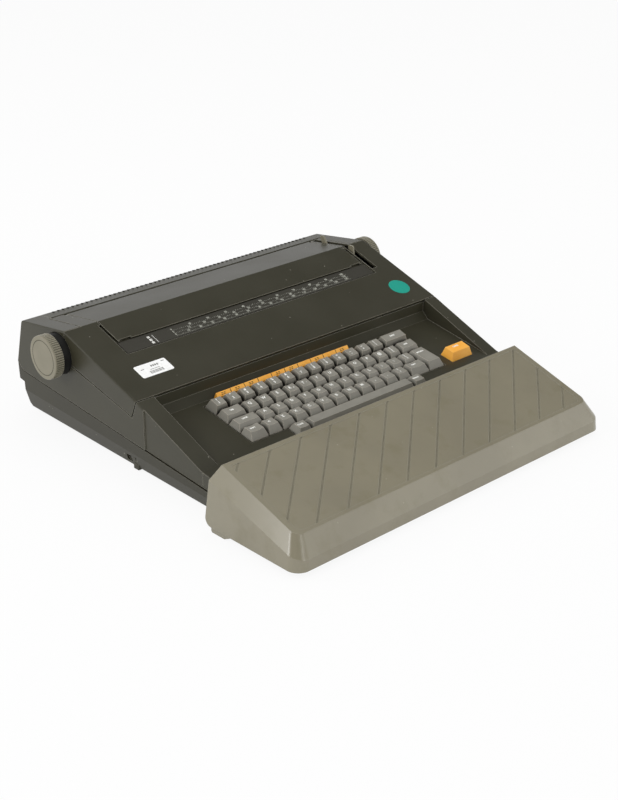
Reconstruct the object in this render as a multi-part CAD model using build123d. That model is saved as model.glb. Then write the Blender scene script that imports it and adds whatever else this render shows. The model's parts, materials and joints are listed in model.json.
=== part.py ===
from build123d import *
import math
import os

# Portable electronic typewriter with a daisy wheel. Its keyboard cover has been
# taken off and stands in front of it. Millimetres. While a piece is made, X runs
# across the machine from its middle, Y runs back from its front face and Z up
# from the table. At the end everything moves together, so that the origin lies
# under the middle of the whole.

# Casing
body_width = 440.0
wall = 2.5
foot_height = 6.5
rim_front_z = 2.6
rim_angle = 0.6
rim_width = 8.0
deck_front_z = 36.8
deck_angle = 10.3
cover_front_y = 119.0
cover_front_z = 80.5
frame_angle = 21.9
cover_angle = 18.3
slope_length = 126.4
rear_angle = 8.0
rear_top_length = 82.4
rear_lip_y = 335.0
rear_lip_z = 57.3
lip_height = 20.0
seam_front_z = 22.0
seam_angle = 4.8
seam_gap = 1.4
free_gap = 0.3
corner_radius = 12.0
edge_radius = 2.0
base_side_inset = 0.3
base_step_in = 9.6
base_rear_chamfer = 5.0
base_front_chamfer = 4.0
crease_front_z = 14.0
crease_angle = 2.2
crease_lean = 14.0
side_step = 1.2
side_step_y = 107.0
notch_lean = 8.0
notch_z = 61.8
cover_seam_angle = 12.9
latch_y = 133.0
latch_length = 9.0
latch_low = 7.5
latch_high = 14.5
latch_groove = 1.6
latch_foot = 8.0
vents = 12
vent_pitch = 12.0
vent_width = 4.0
vent_y = 210.0
vent_length = 40.0
foot_radius = 9.0
foot_inset_x = 34.0
foot_front_y = 38.0
foot_rear_y = 290.0
post_radius = 4.5
screw_radius = 1.5
screw_head_radius = 3.2
screw_head_height = 1.6
screw_reach = 14.0
screw_clearance = 0.05
screw_front_y = 12.0
screw_rear_y = 300.0
screw_inset_x = 206.0

# Keyboard
key_pitch = 19.05
key_gap = 1.4
keys_across = 15
keys_front_y = 30.0
keys_center_x = -1.1
well_left = 198.0
well_right = 202.0
well_rear_y = 120.5
well_ledge = 8.0
window_clearance = 0.8
key_travel = 3.5
cap_inset = 3.5
cap_sink = 0.8
cap_top_depth = 10.8
stem_width = 5.0
stem_clearance = 0.15
plate_drop = 6.0
plate_thickness = 1.5
stem_below_plate = 1.5
board_thickness = 1.6
stem_room = 0.6
strip_depth = 5.8
strip_gap = 1.6
strip_rear_height = 7.2
strip_front_height = 3.6
orange_left = 155.0
orange_width = 33.2
orange_depth = 18.4
orange_height = 9.6

# Lid, scale, levers' slot and paper support
lid_left = 177.0
lid_right = 181.0
lid_thickness = 2.2
lid_gap = 1.1
lid_edge = 1.0
lid_start = 88.5
lid_rear_length = 58.6
lid_notch_width = 15.0
lid_notch_depth = 2.2
lid_ledge = 6.0
pocket_start = 66.4
pocket_margin = 4.0
scale_thickness = 1.0
scale_margin = 2.0
slot_left = 186.0
slot_right = 194.5
slot_front_y = 190.0
end_block = 22.0
support_gap = 2.8
support_thickness = 3.0
support_edge = 2.0
support_left = 195.0
support_right = 206.0
rib_pitch = 6.35
rib_width = 3.2
rib_depth = 3.0
rib_start = 13.0
pocket_floor = 2.0
hinge_drop = 3.7
hinge_inset = 3.0
pin_radius = 1.2
pin_clearance = 0.05
ear_radius = 2.9
ear_width = 5.0
lug_width = 4.0
lug_gap = 0.4
lug_cover = 1.4

# Platen and paper feed
platen_setback = 12.0
platen_drop = 27.4
platen_radius = 16.0
platen_half = 171.0
shaft_radius = 5.0
running = 0.05
knob_radius = 24.0
knob_out = 20.0
knob_width = 10.5
knob_rim = 4.5
knob_face_depth = 1.2
knob_grooves = 60
groove_radius = 0.7
collar_radius = 22.5
collar_gap = 0.5
plate_x = 184.0
plate_wall = 2.0
plate_ahead = 96.0
plate_behind = 39.0
plate_top_drop = 9.0
gear_module = 0.7
platen_teeth = 60
pinion_teeth = 15
gear_width = 4.0
gear_gap = 2.0
motor_radius = 14.0
motor_length = 18.0
motor_angle = 225.0
feed_radius = 6.0
feed_length = 30.0
feed_shaft_radius = 2.5
feed_angle = -69.0
roll_gap = 0.3
cradle_back = 16.0
cradle_drop = 6.0
cradle_rod_radius = 2.5
arm_thickness = 2.0
arm_gap = 1.0
pan_gap = 2.5
pan_thickness = 0.8
pan_from = 218.0
pan_to = 335.0
bail_roller_radius = 4.4
bail_roller_length = 16.0
bail_roller_spacing = 120.0
bail_rod_radius = 2.0
bail_angle = 160.0
bail_pivot_back = 36.0
bail_pivot_drop = 30.8
lever_x = 190.0
lever_thickness = 2.2
lever_width = 8.0
lever_rise = 5.0
bail_lever_back = 15.0
release_pivot_back = 14.0
release_pivot_drop = 14.0
release_tip_back = 30.0
release_rise = 8.0

# Carriage
rod_radius = 4.0
rod_setback = 83.0
rod_spacing = 28.0
rod_z = 44.0
carriage_width = 70.0
carriage_motor_length = 30.0
carriage_rest_x = -108.0
block_below = 10.0
block_above = 14.0
block_margin = 8.0
tray_width = 104.0
tray_gap = 4.0
tray_thickness = 3.0
cassette_width = 110.0
cassette_height = 17.0
cassette_setback = 98.0
ribbon_thickness = 0.4
ribbon_height = 8.0
ribbon_gap = 1.3
tower_width = 40.0
tower_thickness = 4.0
wheel_radius = 31.0
wheel_hub_radius = 11.0
wheel_z = 59.0
wheel_petals = 40
petal_width = 1.3
wheel_thickness = 0.8
wheel_motor_radius = 13.5
wheel_gap = 0.4
hammer_radius = 6.0
hammer_length = 20.0
hammer_pin_radius = 1.5
hammer_throw = 2.4
hammer_rest_gap = 0.3
pulley_radius = 8.0
pulley_x = 164.0
belt_thickness = 1.2
belt_width = 6.0
pulley_rim = 1.0
pulley_post = 4.0
axle_radius = 2.0
belt_lift = 0.3
belt_gap = 0.6

# Electrics
main_board_width = 250.0
main_board_depth = 96.0
board_lift = 5.0
transformer_width = 62.0
transformer_depth = 42.0
transformer_y = 262.0
transformer_height = 44.0
transformer_x = -120.0
inlet_width = 24.0
inlet_height = 14.0
inlet_depth = 22.0
inlet_x = 120.0
inlet_z = 27.5
switch_width = 13.0
switch_height = 14.0
switch_x = 158.0
switch_inset = 3.5
switch_pocket_wall = 1.5

# Keyboard cover that stands in front
cover_width = 445.0
cover_wall = 2.2
cover_aside = 20.5
cover_gap = 14.0
cover_depth = 129.7
cover_rest = 5.5
cover_rear_z = 69.5
cover_lean = 14.0
cover_side_bevel = 11.5
cover_side_drop = 15.0
cover_side_draft = 1.2
cover_front_bevel = 13.7
cover_skirt_front = 11.5
cover_top_angle = 18.0
cover_corner = 14.0
cover_top_corner = 9.0
cover_low_corner = 8.0
field_side = 6.8
field_front = 4.0
field_rear = 5.0
field_corner = 7.0
field_depth = 0.3
stripe_pitch = 39.8
stripe_width = 2.4
stripe_depth = 0.45
stripe_angle = 47.3
stripe_shift = 14.6
hook_length = 30.0
hook_flat = 19.0
hook_height = 12.0
hook_thickness = 3.0
hook_start = 8.5
pad_spacing = 150.0
pad_setback = 16.0
pad_width = 20.0
pad_depth = 4.0


def tangent(angle):
    return math.tan(math.radians(angle))


def sine(angle):
    return math.sin(math.radians(angle))


def cosine(angle):
    return math.cos(math.radians(angle))


# Places that follow from the sizes above
half = body_width / 2
floor_top = foot_height + wall
board_gap = stem_below_plate + key_travel + stem_room
ridge_y = cover_front_y + slope_length * cosine(cover_angle)
ridge_z = cover_front_z + slope_length * sine(cover_angle)
rear_top_y = ridge_y + rear_top_length * cosine(rear_angle)
rear_top_z = ridge_z - rear_top_length * sine(rear_angle)
break_y = (cover_front_z - cover_front_y * tangent(frame_angle) - deck_front_z) / (
    tangent(deck_angle) - tangent(frame_angle)
)
platen_y = ridge_y + platen_setback
platen_z = ridge_z - platen_drop
plate_front_y = platen_y - plate_ahead
plate_rear_y = platen_y + plate_behind
lid_rear_y = ridge_y + lid_rear_length * cosine(rear_angle)
support_front_y = lid_rear_y + support_gap
gear_x = -(plate_x + plate_wall + gear_gap + gear_width)
gear_distance = gear_module * (platen_teeth + pinion_teeth) / 2
pinion_y = platen_y + gear_distance * cosine(motor_angle)
pinion_z = platen_z + gear_distance * sine(motor_angle)
feed_distance = platen_radius + feed_radius + roll_gap
feed_y = platen_y + feed_distance * cosine(feed_angle)
feed_z = platen_z + feed_distance * sine(feed_angle)
cradle_y = feed_y + cradle_back
cradle_z = feed_z - cradle_drop
bail_distance = platen_radius + bail_roller_radius + roll_gap
bail_y = platen_y + bail_distance * cosine(bail_angle)
bail_z = platen_z + bail_distance * sine(bail_angle)
bail_pivot_y = platen_y - bail_pivot_back
bail_pivot_z = platen_z - bail_pivot_drop
release_pivot_y = platen_y + release_pivot_back
release_pivot_z = platen_z - release_pivot_drop
rod_front_y = platen_y - rod_setback
rod_rear_y = rod_front_y + rod_spacing
cassette_front_y = platen_y - cassette_setback
tower_y = rod_rear_y + rod_radius + block_margin - tower_thickness
wheel_front_y = platen_y - platen_radius - ribbon_gap - ribbon_thickness - ribbon_gap
wheel_motor_length = wheel_front_y - wheel_gap - tower_y - tower_thickness
hammer_z = wheel_z + wheel_radius - petal_width
belt_outer = pulley_radius + belt_lift + belt_thickness
belt_z = rod_z - block_below - belt_gap - belt_outer
belt_y = rod_front_y + rod_spacing / 2
key_block = key_pitch * keys_across
keys_left = keys_center_x - key_block / 2
knob_reach = half + knob_out
left_reach = max(knob_reach, cover_width / 2 + cover_aside)
machine_x = (left_reach - knob_reach) / 2
machine_y = cover_depth + cover_gap - (cover_depth + cover_gap + rear_lip_y) / 2


def deck_z(y):
    return deck_front_z + y * tangent(deck_angle)


def frame_z(y):
    return cover_front_z + (y - cover_front_y) * tangent(frame_angle)


def rim_z(y):
    return rim_front_z + y * tangent(rim_angle)


def slope_z(y):
    return cover_front_z + (y - cover_front_y) * tangent(cover_angle)


def rear_z(y):
    return ridge_z - (y - ridge_y) * tangent(rear_angle)


def seam_z(y):
    return seam_front_z + y * tangent(seam_angle)


# Deck frame: Y runs up the keyboard's floor, Z square to it. Slope frame and
# rear frame do the same on the top cover's slope and behind its ridge.
deck = Location((0, keys_front_y, deck_z(keys_front_y)), (deck_angle, 0, 0))
slope = Location((0, cover_front_y, cover_front_z), (cover_angle, 0, 0))
rear = Location((0, ridge_y, ridge_z), (-rear_angle, 0, 0))


def side_face(points, x=0.0, grow=0.0):
    # A face in a plane across X, from (y, z) corners, grown or shrunk.
    face = make_face(Polyline([(y, z) for y, z in points], close=True))
    if grow:
        face = offset(face, amount=grow, kind=Kind.INTERSECTION)
    plane = Plane(origin=(x, 0, 0), x_dir=(0, 1, 0), z_dir=(1, 0, 0))
    return plane * face


def side_prism(points, x0, x1, grow=0.0):
    return extrude(side_face(points, x0, grow), amount=x1 - x0)


def block(x0, x1, y0, y1, z0, z1):
    middle = ((x0 + x1) / 2, (y0 + y1) / 2, (z0 + z1) / 2)
    return Pos(*middle) * Box(x1 - x0, y1 - y0, z1 - z0)


def rod_x(x0, x1, y, z, radius):
    return Pos((x0 + x1) / 2, y, z) * Rot(0, 90, 0) * Cylinder(radius, x1 - x0)


def rod_y(x, y0, y1, z, radius):
    return Pos(x, (y0 + y1) / 2, z) * Rot(90, 0, 0) * Cylinder(radius, y1 - y0)


def post(x, y, z0, z1, radius):
    return Pos(x, y, (z0 + z1) / 2) * Cylinder(radius, z1 - z0)


def joined(shapes):
    whole = shapes[0]
    for shape in shapes[1:]:
        whole = whole + shape
    return whole


# Casing


def casing_points():
    # The whole casing seen from its side, from the front edge of the floor round
    # over the top to the rear.
    lip_low_z = rear_lip_z - lip_height
    step_y = rear_lip_y - base_step_in
    return [
        (base_front_chamfer, rim_z(base_front_chamfer)),
        (0, rim_front_z + base_front_chamfer),
        (0, deck_front_z),
        (break_y, deck_z(break_y)),
        (cover_front_y, cover_front_z),
        (ridge_y, ridge_z),
        (rear_top_y, rear_top_z),
        (rear_lip_y, rear_lip_z),
        (rear_lip_y - 1, lip_low_z),
        (step_y, lip_low_z - 1.5),
        (step_y - 1.4, rim_z(step_y) + base_rear_chamfer - 1),
        (step_y - base_rear_chamfer, rim_z(step_y - base_rear_chamfer)),
    ]


def casing_solid():
    solid = side_prism(casing_points(), -half, half)
    front = solid.edges().filter_by(Axis.Z).group_by(Axis.Y)[0]
    solid = fillet(front, corner_radius)
    tops = [e for e in solid.edges() if is_top_side_edge(e)]
    return fillet(tops, edge_radius)


def is_top_side_edge(edge):
    # The two long lines on each side where the sloping tops meet the sides.
    at = edge.center()
    box = edge.bounding_box()
    along_side = abs(abs(at.X) - half) < 0.01 and box.size.X < 0.01
    return along_side and at.Y > break_y and at.Z > frame_z(break_y) and (
        box.min.Z > rear_lip_z + 10 or at.Y < cover_front_y
    )


def casing_room(gap=0.0):
    # The room inside the walls, drawn in by a further gap.
    shrink = wall + gap
    room = side_prism(casing_points(), -half + shrink, half - shrink, -shrink)
    front = room.edges().filter_by(Axis.Z).group_by(Axis.Y)[0]
    room = fillet(front, corner_radius - shrink)
    return room - block(-half, half, -5, rear_lip_y + 5, -5, floor_top + gap)


def above_seam(gap=0.0):
    bend_y = rear_lip_y - base_step_in - 1.4
    top = ridge_z + 30
    return side_prism(
        [
            (-30, seam_z(-30) + gap),
            (bend_y, seam_z(bend_y) + gap),
            (rear_lip_y, rear_lip_z + gap),
            (rear_lip_y + 30, rear_lip_z + gap),
            (rear_lip_y + 30, top),
            (-30, top),
        ],
        -half - 10,
        half + 10,
    )


def cover_zone(gap=0.0):
    # The part of the casing that belongs to the top cover: the slope with its
    # two side skirts, and the strips beside the lid behind the ridge.
    notch_y = cover_front_y + notch_lean
    seam_end_y = ridge_y - 6
    seam_end_z = notch_z + (seam_end_y - notch_y) * tangent(cover_seam_angle)
    lean = notch_lean / (cover_front_z - notch_z)
    front = side_prism(
        [
            (cover_front_y - 30 * lean - gap, cover_front_z + 30),
            (cover_front_y - gap, cover_front_z),
            (notch_y - gap, notch_z - gap),
            (seam_end_y + gap, seam_end_z - gap),
            (ridge_y + gap, ridge_z),
            (ridge_y + gap, ridge_z + 30),
        ],
        -half - 10,
        half + 10,
    )
    inner = half - end_block + gap
    behind = block(-inner, inner, ridge_y - 1, lid_rear_y + gap, rear_top_z - 14, ridge_z + 30)
    return front + behind


def well_points():
    ledge_y = well_rear_y - well_ledge
    return [
        (break_y, deck_z(break_y)),
        (ledge_y, deck_z(ledge_y)),
        (well_rear_y, deck_z(ledge_y) + well_ledge),
        (well_rear_y, ridge_z + 40),
        (break_y, ridge_z + 40),
    ]


def well_room():
    return side_prism(well_points(), -well_left, well_right)


def key_window():
    # The opening in the well's floor that the keycaps stand in.
    clear = window_clearance
    low, high = -plate_drop - 10, 40
    u = key_pitch
    rows = block(keys_left - clear, keys_left + key_block + clear, -clear, 4 * u + clear, low, high)
    front = block(keys_left + 2.5 * u - clear, keys_left + 12.5 * u + clear, -u - clear, 1, low, high)
    side = block(
        orange_left - clear, orange_left + orange_width + clear, -clear, orange_depth + clear, low, high
    )
    return deck * (rows + front + side)


def make_upper_case():
    outer = casing_solid()
    shell = outer - casing_room()
    lining = side_prism(well_points(), -well_left - wall, well_right + wall, wall)
    shell = shell + (lining & outer)
    shell = shell & above_seam()
    shell = shell - well_room() - key_window()
    shell = shell - (cover_zone(seam_gap) & (outer - casing_room(seam_gap)))
    shell = shell - side_reliefs()
    shell = shell - support_room() + support_bed(outer) + make_support_lugs()
    shell = shell - lid_room() - lever_slot() - shaft_holes(collar_radius + collar_gap) - pin_holes()
    posts = [case_post(x, y) for x, y in screw_places()]
    shell = shell + joined(posts)
    return shell - joined([screw_hole(x, y) for x, y in screw_places()])


def side_reliefs():
    # The front part of each side lies a little further in, where the keyboard
    # cover's sides go when it is on.
    parts = []
    for side in (-1, 1):
        x0 = half - side_step
        piece = block(x0, half + 5, -5, side_step_y, seam_front_z - 5, cover_front_z - wall)
        parts.append(piece if side > 0 else mirror(piece, about=Plane.YZ))
    return parts[0] + parts[1]


def screw_places():
    rear_x = screw_inset_x
    return [(s * rear_x, y) for y in (screw_front_y + post_radius, screw_rear_y) for s in (-1, 1)]


def case_post(x, y):
    top = deck_z(y) - 1 if y < break_y else rear_lip_z + 20
    column = post(x, y, floor_top, top, post_radius)
    rib_end = (half - 1) * (1 if x > 0 else -1)
    low = seam_z(y) + 3
    rib = block(min(x, rib_end), max(x, rib_end), y - 1, y + 1, low, top)
    return column + rib


def screw_hole(x, y):
    return post(x, y, floor_top - 1, floor_top + screw_reach, screw_radius + screw_clearance)


def shaft_holes(radius):
    left = rod_x(-half - 5, -half + wall + 5, platen_y, platen_z, radius)
    return left + mirror(left, about=Plane.YZ)


def make_base_pan():
    outer = casing_solid() - above_seam(-seam_gap)
    narrow = half - base_side_inset
    outer = outer & block(-narrow, narrow, -5, rear_lip_y + 5, 0, rear_lip_z + 5)
    outer = outer & lean_section(0)
    room = casing_room() & lean_section(wall)
    pan = outer - room
    for x, y in screw_places():
        pan = pan - post(x, y, foot_height - 1, floor_top + 1, screw_radius + screw_clearance)
        head_top = foot_height + screw_head_height
        pan = pan - post(x, y, foot_height - 1, head_top, screw_head_radius + screw_clearance)
    pan = pan - inlet_hole() - switch_room() - underside() - floor_slots() - latch_recesses()
    pan = pan + board_posts() + pulley_posts() + plate_feet() + latch_feet() + switch_pocket()
    return pan - switch_axle(axle_radius + running)


def underside():
    # The floor lies a little above the rim that runs round under it.
    wide = half - rim_width
    rear_y = rear_lip_y - base_step_in - base_rear_chamfer - pocket_floor
    return block(-wide, wide, rim_width, rear_y, -1, foot_height)


def latch_recesses():
    # A slot for the keyboard cover's catch and a groove beside it on each side.
    slot = block(half - 2 * wall, half + 1, latch_y, latch_y + latch_length, latch_low, latch_high)
    x0 = half - wall - base_side_inset
    groove_y = latch_y - latch_length + latch_groove
    groove = block(x0, half + 1, groove_y, groove_y + latch_groove, -1, latch_high + 1)
    parts = slot + groove
    return parts + mirror(parts, about=Plane.YZ)


def latch_feet():
    # A small stop under the rim on each side, in front of the catch's slot.
    y1 = latch_y - latch_groove
    foot = block(half - rim_width, half - wall - base_side_inset, y1 - latch_foot, y1, 1, foot_height)
    return foot + mirror(foot, about=Plane.YZ)


def lean_section(shrink):
    # The lower part of the sides leans in below a crease that rises to the rear.
    top = half - base_side_inset - shrink
    tall = ridge_z
    leant = top - tall * tangent(crease_lean)
    points = [
        (-leant, -tall),
        (-top, 0),
        (-top, tall),
        (top, tall),
        (top, 0),
        (leant, -tall),
    ]
    face = make_face(Polyline(points, close=True))
    plane = Plane(origin=(0, -20, 0), x_dir=(1, 0, 0), z_dir=(0, -1, 0))
    prism = extrude(plane * face, amount=-(rear_lip_y + 60))
    return Pos(0, 0, crease_front_z) * Rot(crease_angle, 0, 0) * prism


def board_posts():
    posts = []
    for x in (-main_board_width / 2 + 6, main_board_width / 2 - 6):
        for y in (16.0, main_board_depth):
            posts.append(post(x, y, floor_top - 0.5, floor_top + board_lift, 3.0))
    return joined(posts)


def pulley_posts():
    # Floor posts behind the pulleys: the left one has the idler's pin, and the
    # motor's shaft comes through the right one.
    y0 = belt_y + belt_width / 2 + pulley_rim + free_gap
    y1 = y0 + pulley_post
    idler = block(-pulley_x - 5, -pulley_x + 5, y0, y1, floor_top - 0.5, belt_z + 5)
    idler = idler + rod_y(-pulley_x, belt_y - belt_width / 2, y0 + 1, belt_z, axle_radius)
    drive = block(pulley_x - 5, pulley_x + 5, y0, y1, floor_top - 0.5, belt_z + 5)
    drive = drive - rod_y(pulley_x, y0 - 1, y1 + 1, belt_z, axle_radius + 2 * running)
    return idler + drive


def plate_feet():
    # Low rails on the floor that the side plates stand against.
    rails = []
    for side in (-1, 1):
        x0 = side * (plate_x - 4)
        x1 = side * plate_x
        y0, y1 = plate_front_y + 4, plate_rear_y - 4
        rails.append(block(min(x0, x1), max(x0, x1), y0, y1, floor_top - 0.5, floor_top + 4))
    return rails[0] + rails[1]


def floor_slots():
    # Cooling slots in the floor.
    slots = []
    for i in range(vents):
        x = vent_pitch * (i - (vents - 1) / 2) - vent_width / 2
        slots.append(block(x, x + vent_width, vent_y, vent_y + vent_length, foot_height - 1, floor_top + 1))
    return joined(slots)


def make_top_cover():
    outer = casing_solid()
    shell = (outer - casing_room()) & cover_zone()
    bed = slope * block(
        -lid_left - pocket_margin - wall,
        slot_left + wall,
        pocket_start - wall,
        lid_start + lid_ledge,
        -lid_thickness - wall,
        -0.5,
    )
    shell = shell + bed
    pocket = slope * block(
        -lid_left - pocket_margin, slot_left - 1, pocket_start, slope_length - 6, -lid_thickness, 5
    )
    shell = shell - pocket - lid_room() - lever_slot() - shaft_holes(collar_radius + collar_gap)
    return shell - lug_room()


def lid_room():
    # The way through the top under the lid, back to the paper slot.
    x0, x1 = -lid_left - lid_gap, lid_right + lid_gap
    front = slope * block(x0, x1, lid_start + lid_ledge, slope_length + 5, -9, 9)
    sill = slope * block(x0, x1, lid_start - lid_gap, slope_length + 5, -lid_thickness - free_gap, 9)
    back = block(x0, x1, ridge_y - 12, support_front_y, rear_top_z - 12, ridge_z + 9)
    return front + sill + back


def lever_slot():
    low = slope_z(slot_front_y) - 12
    return block(slot_left, slot_right, slot_front_y, lid_rear_y - 1, low, ridge_z + 12)


def make_scale_strip():
    x0 = -lid_left - pocket_margin + scale_margin
    x1 = slot_left - 1 - scale_margin
    y0 = pocket_start + scale_margin
    top = -lid_thickness + scale_thickness
    return slope * block(x0, x1, y0, lid_start - lid_gap, -lid_thickness, top)


def lid_points():
    front_y = cover_front_y + lid_start * cosine(cover_angle)
    front_z = cover_front_z + lid_start * sine(cover_angle)
    lower = lid_thickness / cosine((cover_angle + rear_angle) / 2)
    turn = (cover_angle - rear_angle) / 2
    return [
        (front_y, front_z),
        (ridge_y, ridge_z),
        (lid_rear_y, rear_z(lid_rear_y)),
        (lid_rear_y - lid_thickness * sine(rear_angle), rear_z(lid_rear_y) - lid_thickness),
        (ridge_y + lower * sine(turn), ridge_z - lower * cosine(turn)),
        (front_y + lid_thickness * sine(cover_angle), front_z - lid_thickness * cosine(cover_angle)),
    ]


def edges_at(shape, y, z):
    return [e for e in shape.edges() if math.hypot(e.center().Y - y, e.center().Z - z) < 0.1]


def make_access_lid():
    lid = side_prism(lid_points(), -lid_left, lid_right)
    lid = fillet(edges_at(lid, ridge_y, ridge_z), edge_radius)
    lid = fillet(edges_at(lid, lid_rear_y, rear_z(lid_rear_y)), lid_edge)
    for x0 in (-lid_left + 2, lid_right - 2 - lid_notch_width):
        notch = block(x0, x0 + lid_notch_width, lid_start - 1, lid_start + lid_notch_depth, -9, 9)
        lid = lid - slope * notch
    hinge_y, hinge_z = lid_hinge()
    for x0 in (-lid_left, lid_right - ear_width):
        ear = rod_x(x0, x0 + ear_width, hinge_y, hinge_z, ear_radius)
        ear = ear + block(x0, x0 + ear_width, hinge_y - ear_radius, hinge_y + 1, hinge_z, rear_z(hinge_y) - 1)
        lid = lid + ear
    for x0 in (-lid_left + 8, lid_right - 9.5):
        rib = side_prism(
            [
                (ridge_y + 6, rear_z(ridge_y + 6) - 1),
                (hinge_y - 8, rear_z(hinge_y - 8) - 1),
                (hinge_y - 8, rear_z(hinge_y - 8) - 5),
                (ridge_y + 6, rear_z(ridge_y + 6) - 5),
            ],
            x0,
            x0 + 1.5,
        )
        lid = lid + rib
    return lid - rod_x(-lid_left - 1, lid_right + 1, hinge_y, hinge_z, pin_radius + pin_clearance)


def lid_hinge():
    y = lid_rear_y - hinge_inset
    return y, rear_z(y) - hinge_drop


def support_hinge():
    y = support_front_y + hinge_inset
    return y, rear_z(y) - hinge_drop


def support_slab(gap, deep):
    x0, x1 = -support_left - gap, support_right + gap
    start = (support_front_y - ridge_y) / cosine(rear_angle) - gap
    return rear * block(x0, x1, start, rear_top_length + 12, -deep, 12)


def groove_front():
    # How far the rounded front edge reaches forward as the support turns.
    across, down = hinge_inset - support_edge, hinge_drop - support_edge
    return support_front_y - (math.hypot(across, down) + support_edge - hinge_inset) - free_gap


def support_room():
    hinge_y, hinge_z = support_hinge()
    room = support_slab(lug_gap, support_thickness + free_gap)
    groove = block(
        -support_left - lug_gap,
        support_right + lug_gap,
        groove_front(),
        hinge_y + ear_radius + 1.0,
        hinge_z - ear_radius - 0.6,
        ridge_z,
    )
    return room + groove


def support_bed(outer):
    # The floor under the paper support, and the rear lip that it closes on.
    hinge_y, hinge_z = support_hinge()
    front = hinge_y + ear_radius + 1.0
    top = support_thickness + free_gap
    floor = rear * block(
        -support_left - lug_gap - wall,
        support_right + lug_gap + wall,
        (front - ridge_y) / cosine(rear_angle),
        rear_top_length + 12,
        -top - pocket_floor,
        -top,
    )
    return floor & outer


def lug_spans():
    return (
        (-lid_left - lug_gap - lug_width, -lid_left - lug_gap),
        (lid_right + lug_gap, lid_right + lug_gap + lug_width),
    )


def lug_room():
    # Relief under the top cover's strips for the lid's lugs.
    y, z = lid_hinge()
    parts = []
    for x0, x1 in lug_spans():
        top = rear_z(y) - lug_cover + seam_gap
        parts.append(block(x0 - 0.2, x1 + 0.4, y - ear_radius - 1, lid_rear_y + 2, z - 9, top))
    return parts[0] + parts[1]


def make_support_lugs():
    # Lugs on the upper case for the pins. The lid's lugs pass under the groove of
    # the paper support and hang on the floor behind it.
    lid_y, lid_z = lid_hinge()
    hinge_y, hinge_z = support_hinge()
    groove_low = hinge_z - ear_radius - 0.6
    bed_y = hinge_y + ear_radius + 1.0
    bed_z = rear_z(bed_y) - support_thickness - pocket_floor
    points = [
        (lid_y - ear_radius, rear_z(lid_y) - lug_cover),
        (lid_y + ear_radius, rear_z(lid_y) - lug_cover - 0.5),
        (lid_y + ear_radius, groove_low),
        (bed_y, groove_low),
        (bed_y, bed_z),
        (bed_y + 5, bed_z),
        (bed_y + 5, groove_low - 3),
        (lid_y - ear_radius, groove_low - 3),
    ]
    lugs = joined([side_prism(points, x0, x1) for x0, x1 in lug_spans()])
    top = rear_z(hinge_y + ear_radius) - wall / 2
    for x0, x1 in support_lug_spans():
        low = hinge_z - ear_radius
        lugs = lugs + block(x0, x1, hinge_y - ear_radius, hinge_y + ear_radius, low, top)
    return lugs


def pin_holes():
    radius = pin_radius + pin_clearance
    reach = support_right + lug_gap + lug_width
    return rod_x(-reach, reach, *lid_hinge(), radius) + rod_x(-reach, reach, *support_hinge(), radius)


def support_lug_spans():
    left, right = support_left + lug_gap, support_right + lug_gap
    return (-left - lug_width, -left), (right, right + lug_width)


def make_paper_support():
    slab = support_slab(0, support_thickness) & casing_trim()
    slab = fillet(edges_at(slab, support_front_y, rear_z(support_front_y)), support_edge)
    hinge_y, hinge_z = support_hinge()
    for x0 in (-support_left, support_right - ear_width):
        slab = slab + rod_x(x0, x0 + ear_width, hinge_y, hinge_z, ear_radius)
        slab = slab + block(
            x0, x0 + ear_width, hinge_y - 1, hinge_y + ear_radius, hinge_z, rear_z(hinge_y) - 1.5
        )
    count = int((support_left + support_right - rib_start - rib_depth) / rib_pitch)
    cuts = []
    for i in range(count):
        x = -support_left + rib_start + rib_pitch * i
        width = rib_pitch - rib_width
        cuts.append(
            rear * block(x, x + width, rear_top_length - rib_depth, rear_top_length + 15, -9, 9)
        )
    slab = slab - cuts
    return slab - rod_x(-support_left - 1, support_right + 1, hinge_y, hinge_z, pin_radius + pin_clearance)


def casing_trim():
    return side_prism(casing_points(), -half, half)


def make_hinge_pins():
    lid_y, lid_z = lid_hinge()
    y, z = support_hinge()
    inner = ear_width - 1
    outer = lug_gap + lug_width
    return Compound(
        children=[
            rod_x(-lid_left - outer, -lid_left + inner, lid_y, lid_z, pin_radius),
            rod_x(lid_right - inner, lid_right + outer, lid_y, lid_z, pin_radius),
            rod_x(-support_left - outer, -support_left + inner, y, z, pin_radius),
            rod_x(support_right - inner, support_right + outer, y, z, pin_radius),
        ]
    )


def make_rubber_feet():
    x = half - foot_inset_x
    feet = []
    for y in (foot_front_y, foot_rear_y):
        for side in (-1, 1):
            foot = post(side * x, y, 0, foot_height, foot_radius)
            feet.append(fillet(foot.edges().group_by(Axis.Z)[0], 1.5))
    return Compound(children=feet)


def make_case_screws():
    screws = []
    for x, y in screw_places():
        head_top = foot_height + screw_head_height - screw_clearance
        head = post(x, y, foot_height + screw_clearance, head_top, screw_head_radius)
        shank = post(x, y, foot_height + 0.5, floor_top + screw_reach - 1, screw_radius)
        screws.append(head + shank)
    return Compound(children=screws)


# Keyboard

row_front_inset = {1: 2.8, 2: 4.5, 3: 5.5, 4: 6.6, 5: 4.0}
row_front_height = {1: 9.6, 2: 6.9, 3: 6.3, 4: 7.0, 5: 7.2}
row_rear_height = {1: 11.1, 2: 7.8, 3: 6.2, 4: 6.5, 5: 7.0}


def row_front(row):
    return (4 - row) * key_pitch


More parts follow.
